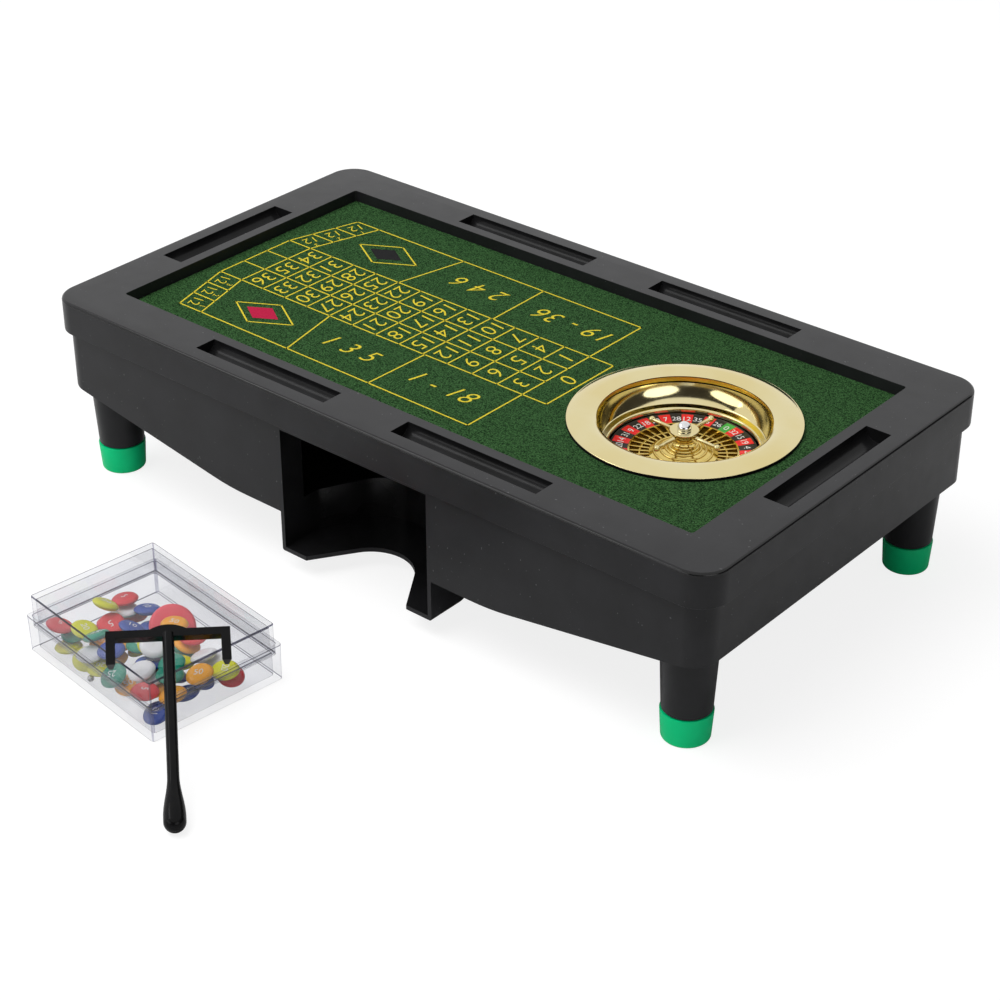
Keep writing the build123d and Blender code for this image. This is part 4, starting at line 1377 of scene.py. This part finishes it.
@dataclass
class Studio:
    """The plain room the set stands in: floor, sky, lamps and camera."""

    aim: tuple[float, float, float] = (0.0000367, 0.0699632, 0.0059246)
    azimuth: float = 40.2304
    elevation: float = 31.1267
    distance: float = 0.948333
    lens: float = 83.5226
    sky_light: float = 0.28
    floor_reach: float = 12.0
    floor_glow: float = 1.16
    floor_share: float = 0.72

    def direction(self, azimuth: float, elevation: float) -> Vector:
        """Give the unit vector from the set towards an azimuth and elevation, in degrees."""
        a, e = math.radians(azimuth), math.radians(elevation)
        return Vector((math.sin(a) * math.cos(e), -math.cos(a) * math.cos(e), math.sin(e)))

    def camera(self) -> None:
        """Set up the camera."""
        data = bpy.data.cameras.new("studio_camera")
        data.sensor_width = 36.0
        data.lens = self.lens
        data.clip_start, data.clip_end = 0.01, 50.0
        made = show("studio_camera", data)
        back = self.direction(self.azimuth, self.elevation)
        made.location = Vector(self.aim) + back * self.distance
        made.rotation_euler = (-back).to_track_quat("-Z", "Y").to_euler()
        bpy.context.scene.camera = made

    def seen(self, tree: Tree, rays: tuple[str, ...]) -> Socket:
        """Tell the rays that show the background from those that light the set.

        Args:
            tree: The node tree it is for.
            rays: The kinds of ray that show it.

        Returns:
            One for a ray of these kinds.
        """
        path = tree.nodes.new("ShaderNodeLightPath")
        total = path.outputs[rays[0]]
        for name in rays[1:]:
            total = wire(tree, "Math", {0: total, 1: path.outputs[name]}, "MAXIMUM")
        return total

    def sky(self) -> None:
        """Make the white surroundings, which light the set less than they show."""
        world = bpy.data.worlds.new("white_room")
        bpy.context.scene.world = world
        world.use_nodes = True
        tree = world.node_tree
        seen = self.seen(tree, ("Is Camera Ray", "Is Glossy Ray", "Is Transmission Ray"))
        strength = wire(tree, "MapRange", {"To Min": self.sky_light, "To Max": 1.0, "Value": seen}, out="Result")
        fill(tree.nodes["Background"], {"Color": (1, 1, 1, 1), "Strength": strength})

    def floor(self) -> None:
        """Lay the pale floor."""
        bm = bmesh.new()
        bmesh.ops.create_grid(bm, x_segments=1, y_segments=1, size=self.floor_reach)
        paint, tree, shader = start_material(
            "pale_floor", {"Base Color": (0.86, 0.86, 0.86, 1), "Roughness": 0.9, "Specular IOR Level": 0.1}
        )
        seen = self.seen(tree, ("Is Camera Ray", "Is Transmission Ray"))
        share = wire(tree, "Math", {0: seen, 1: self.floor_share}, "MULTIPLY")
        layer(tree, share, shader.outputs[0], wire(tree, "Emission", {"Strength": self.floor_glow}))
        floor = show("floor", mesh_of("floor", bm, paint))

    def lamp(
        self, name: str, azimuth: float, elevation: float, distance: float, size: Point, power: float,
        mirrored: bool = True, lighting: bool = True,
    ) -> None:
        """Hang a soft lamp that faces the set.

        Args:
            name: Its name.
            azimuth: Where it hangs round the set, in degrees.
            elevation: How high it hangs, in degrees.
            distance: How far from the set.
            size: Its width and height.
            power: Its power in watts.
            mirrored: Whether polished surfaces show it.
            lighting: Whether it lights matt surfaces.
        """
        data = bpy.data.lights.new(name, "AREA")
        data.shape = "RECTANGLE" if lighting else "ELLIPSE"
        data.size, data.size_y = size
        data.energy = power
        made = show(name, data)
        away = self.direction(azimuth, elevation)
        made.location = Vector(self.aim) + away * distance
        made.rotation_euler = away.to_track_quat("Z", "Y").to_euler()
        made.visible_camera = False
        made.visible_glossy = mirrored
        made.visible_diffuse = lighting

    def flag(
        self, radius: float = 2.5, foot: float = 0.0, height: float = 1.5, left: float = 75.0, right: float = 114.0
    ) -> None:
        """Hang the curved dark card that the gilt bowl mirrors behind the two front lamps.

        Args:
            radius: How far it hangs from the set.
            foot: How high its lower edge is.
            height: How tall it is.
            left: How far it reaches to the camera's left, in degrees.
            right: How far it reaches to its right.
        """
        bm = bmesh.new()
        low = self.direction(self.azimuth - left, 0) * radius + Vector((0, 0, foot))
        post = [bm.verts.new(low), bm.verts.new(low + Vector((0, 0, height)))]
        edge = bm.edges.new(post)
        bmesh.ops.spin(
            bm, geom=[*post, edge], cent=(0, 0, 0), axis=(0, 0, 1), dvec=(0, 0, 0), angle=math.radians(left + right),
            steps=48, use_merge=False, use_duplicate=False,
        )
        paint, tree, shader = start_material("dark_card", {"Base Color": (0.02, 0.016, 0.012, 1)})
        depth = wire(tree, "LightPath", {}, out="Transmission Depth")
        once = wire(tree, "Math", {0: depth, 1: 1.0}, "MINIMUM")
        layer(tree, once, shader.outputs[0], wire(tree, "BsdfTransparent", {}))
        card = show("dark_card", mesh_of("dark_card", bm, paint))
        card.visible_camera = card.visible_diffuse = card.visible_transmission = card.visible_shadow = False

    def light(self) -> None:
        """Set the room and hang the lamps."""
        self.sky()
        self.floor()
        self.flag()
        self.lamp("overhead_softbox", -40, 66, 1.6, (1.4, 1.2), 23.0, mirrored=False)
        self.lamp("left_strip", -47, 43, 1.7, (1.1, 0.35), 3.4, lighting=False)
        self.lamp("front_left_softbox", self.azimuth - 56, 15.5, 1.7, (1.4, 0.6), 4.4, lighting=False)
        self.lamp("front_right_softbox", self.azimuth + 28, 15.5, 1.7, (1.3, 0.6), 4.0, lighting=False)


def main() -> None:
    """Build the set, piece by piece."""
    logging.basicConfig(level=logging.INFO, format="%(message)s")
    bpy.context.scene.view_settings.view_transform = "Standard"
    studio = Studio()
    studio.camera()
    studio.light()
    low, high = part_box("table_top")
    centre_y = (low.y + high.y) / 2 / MM
    finishes = Finishes()
    stamp = Stamp()
    table = Table(finishes, centre_y)
    table.case()
    table.legs()
    table.screws()
    felt = Felt(finishes, stamp, centre_y)
    felt.mat()
    felt.layout()
    low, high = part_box("wheel_rim")
    centre = ((low.x + high.x) / 2 / MM, (low.y + high.y) / 2 / MM)
    wheel = Wheel(finishes, stamp, centre)
    wheel.rim()
    wheel.bowl()
    wheel.ring()
    wheel.rotor()
    wheel.arms()
    wheel.turret()
    wheel.knob()
    box = ChipBox(finishes, stamp)
    box.box()
    box.heap()
    box.loose()
    Rake(finishes).build()


if __name__ == "__main__":
    main()
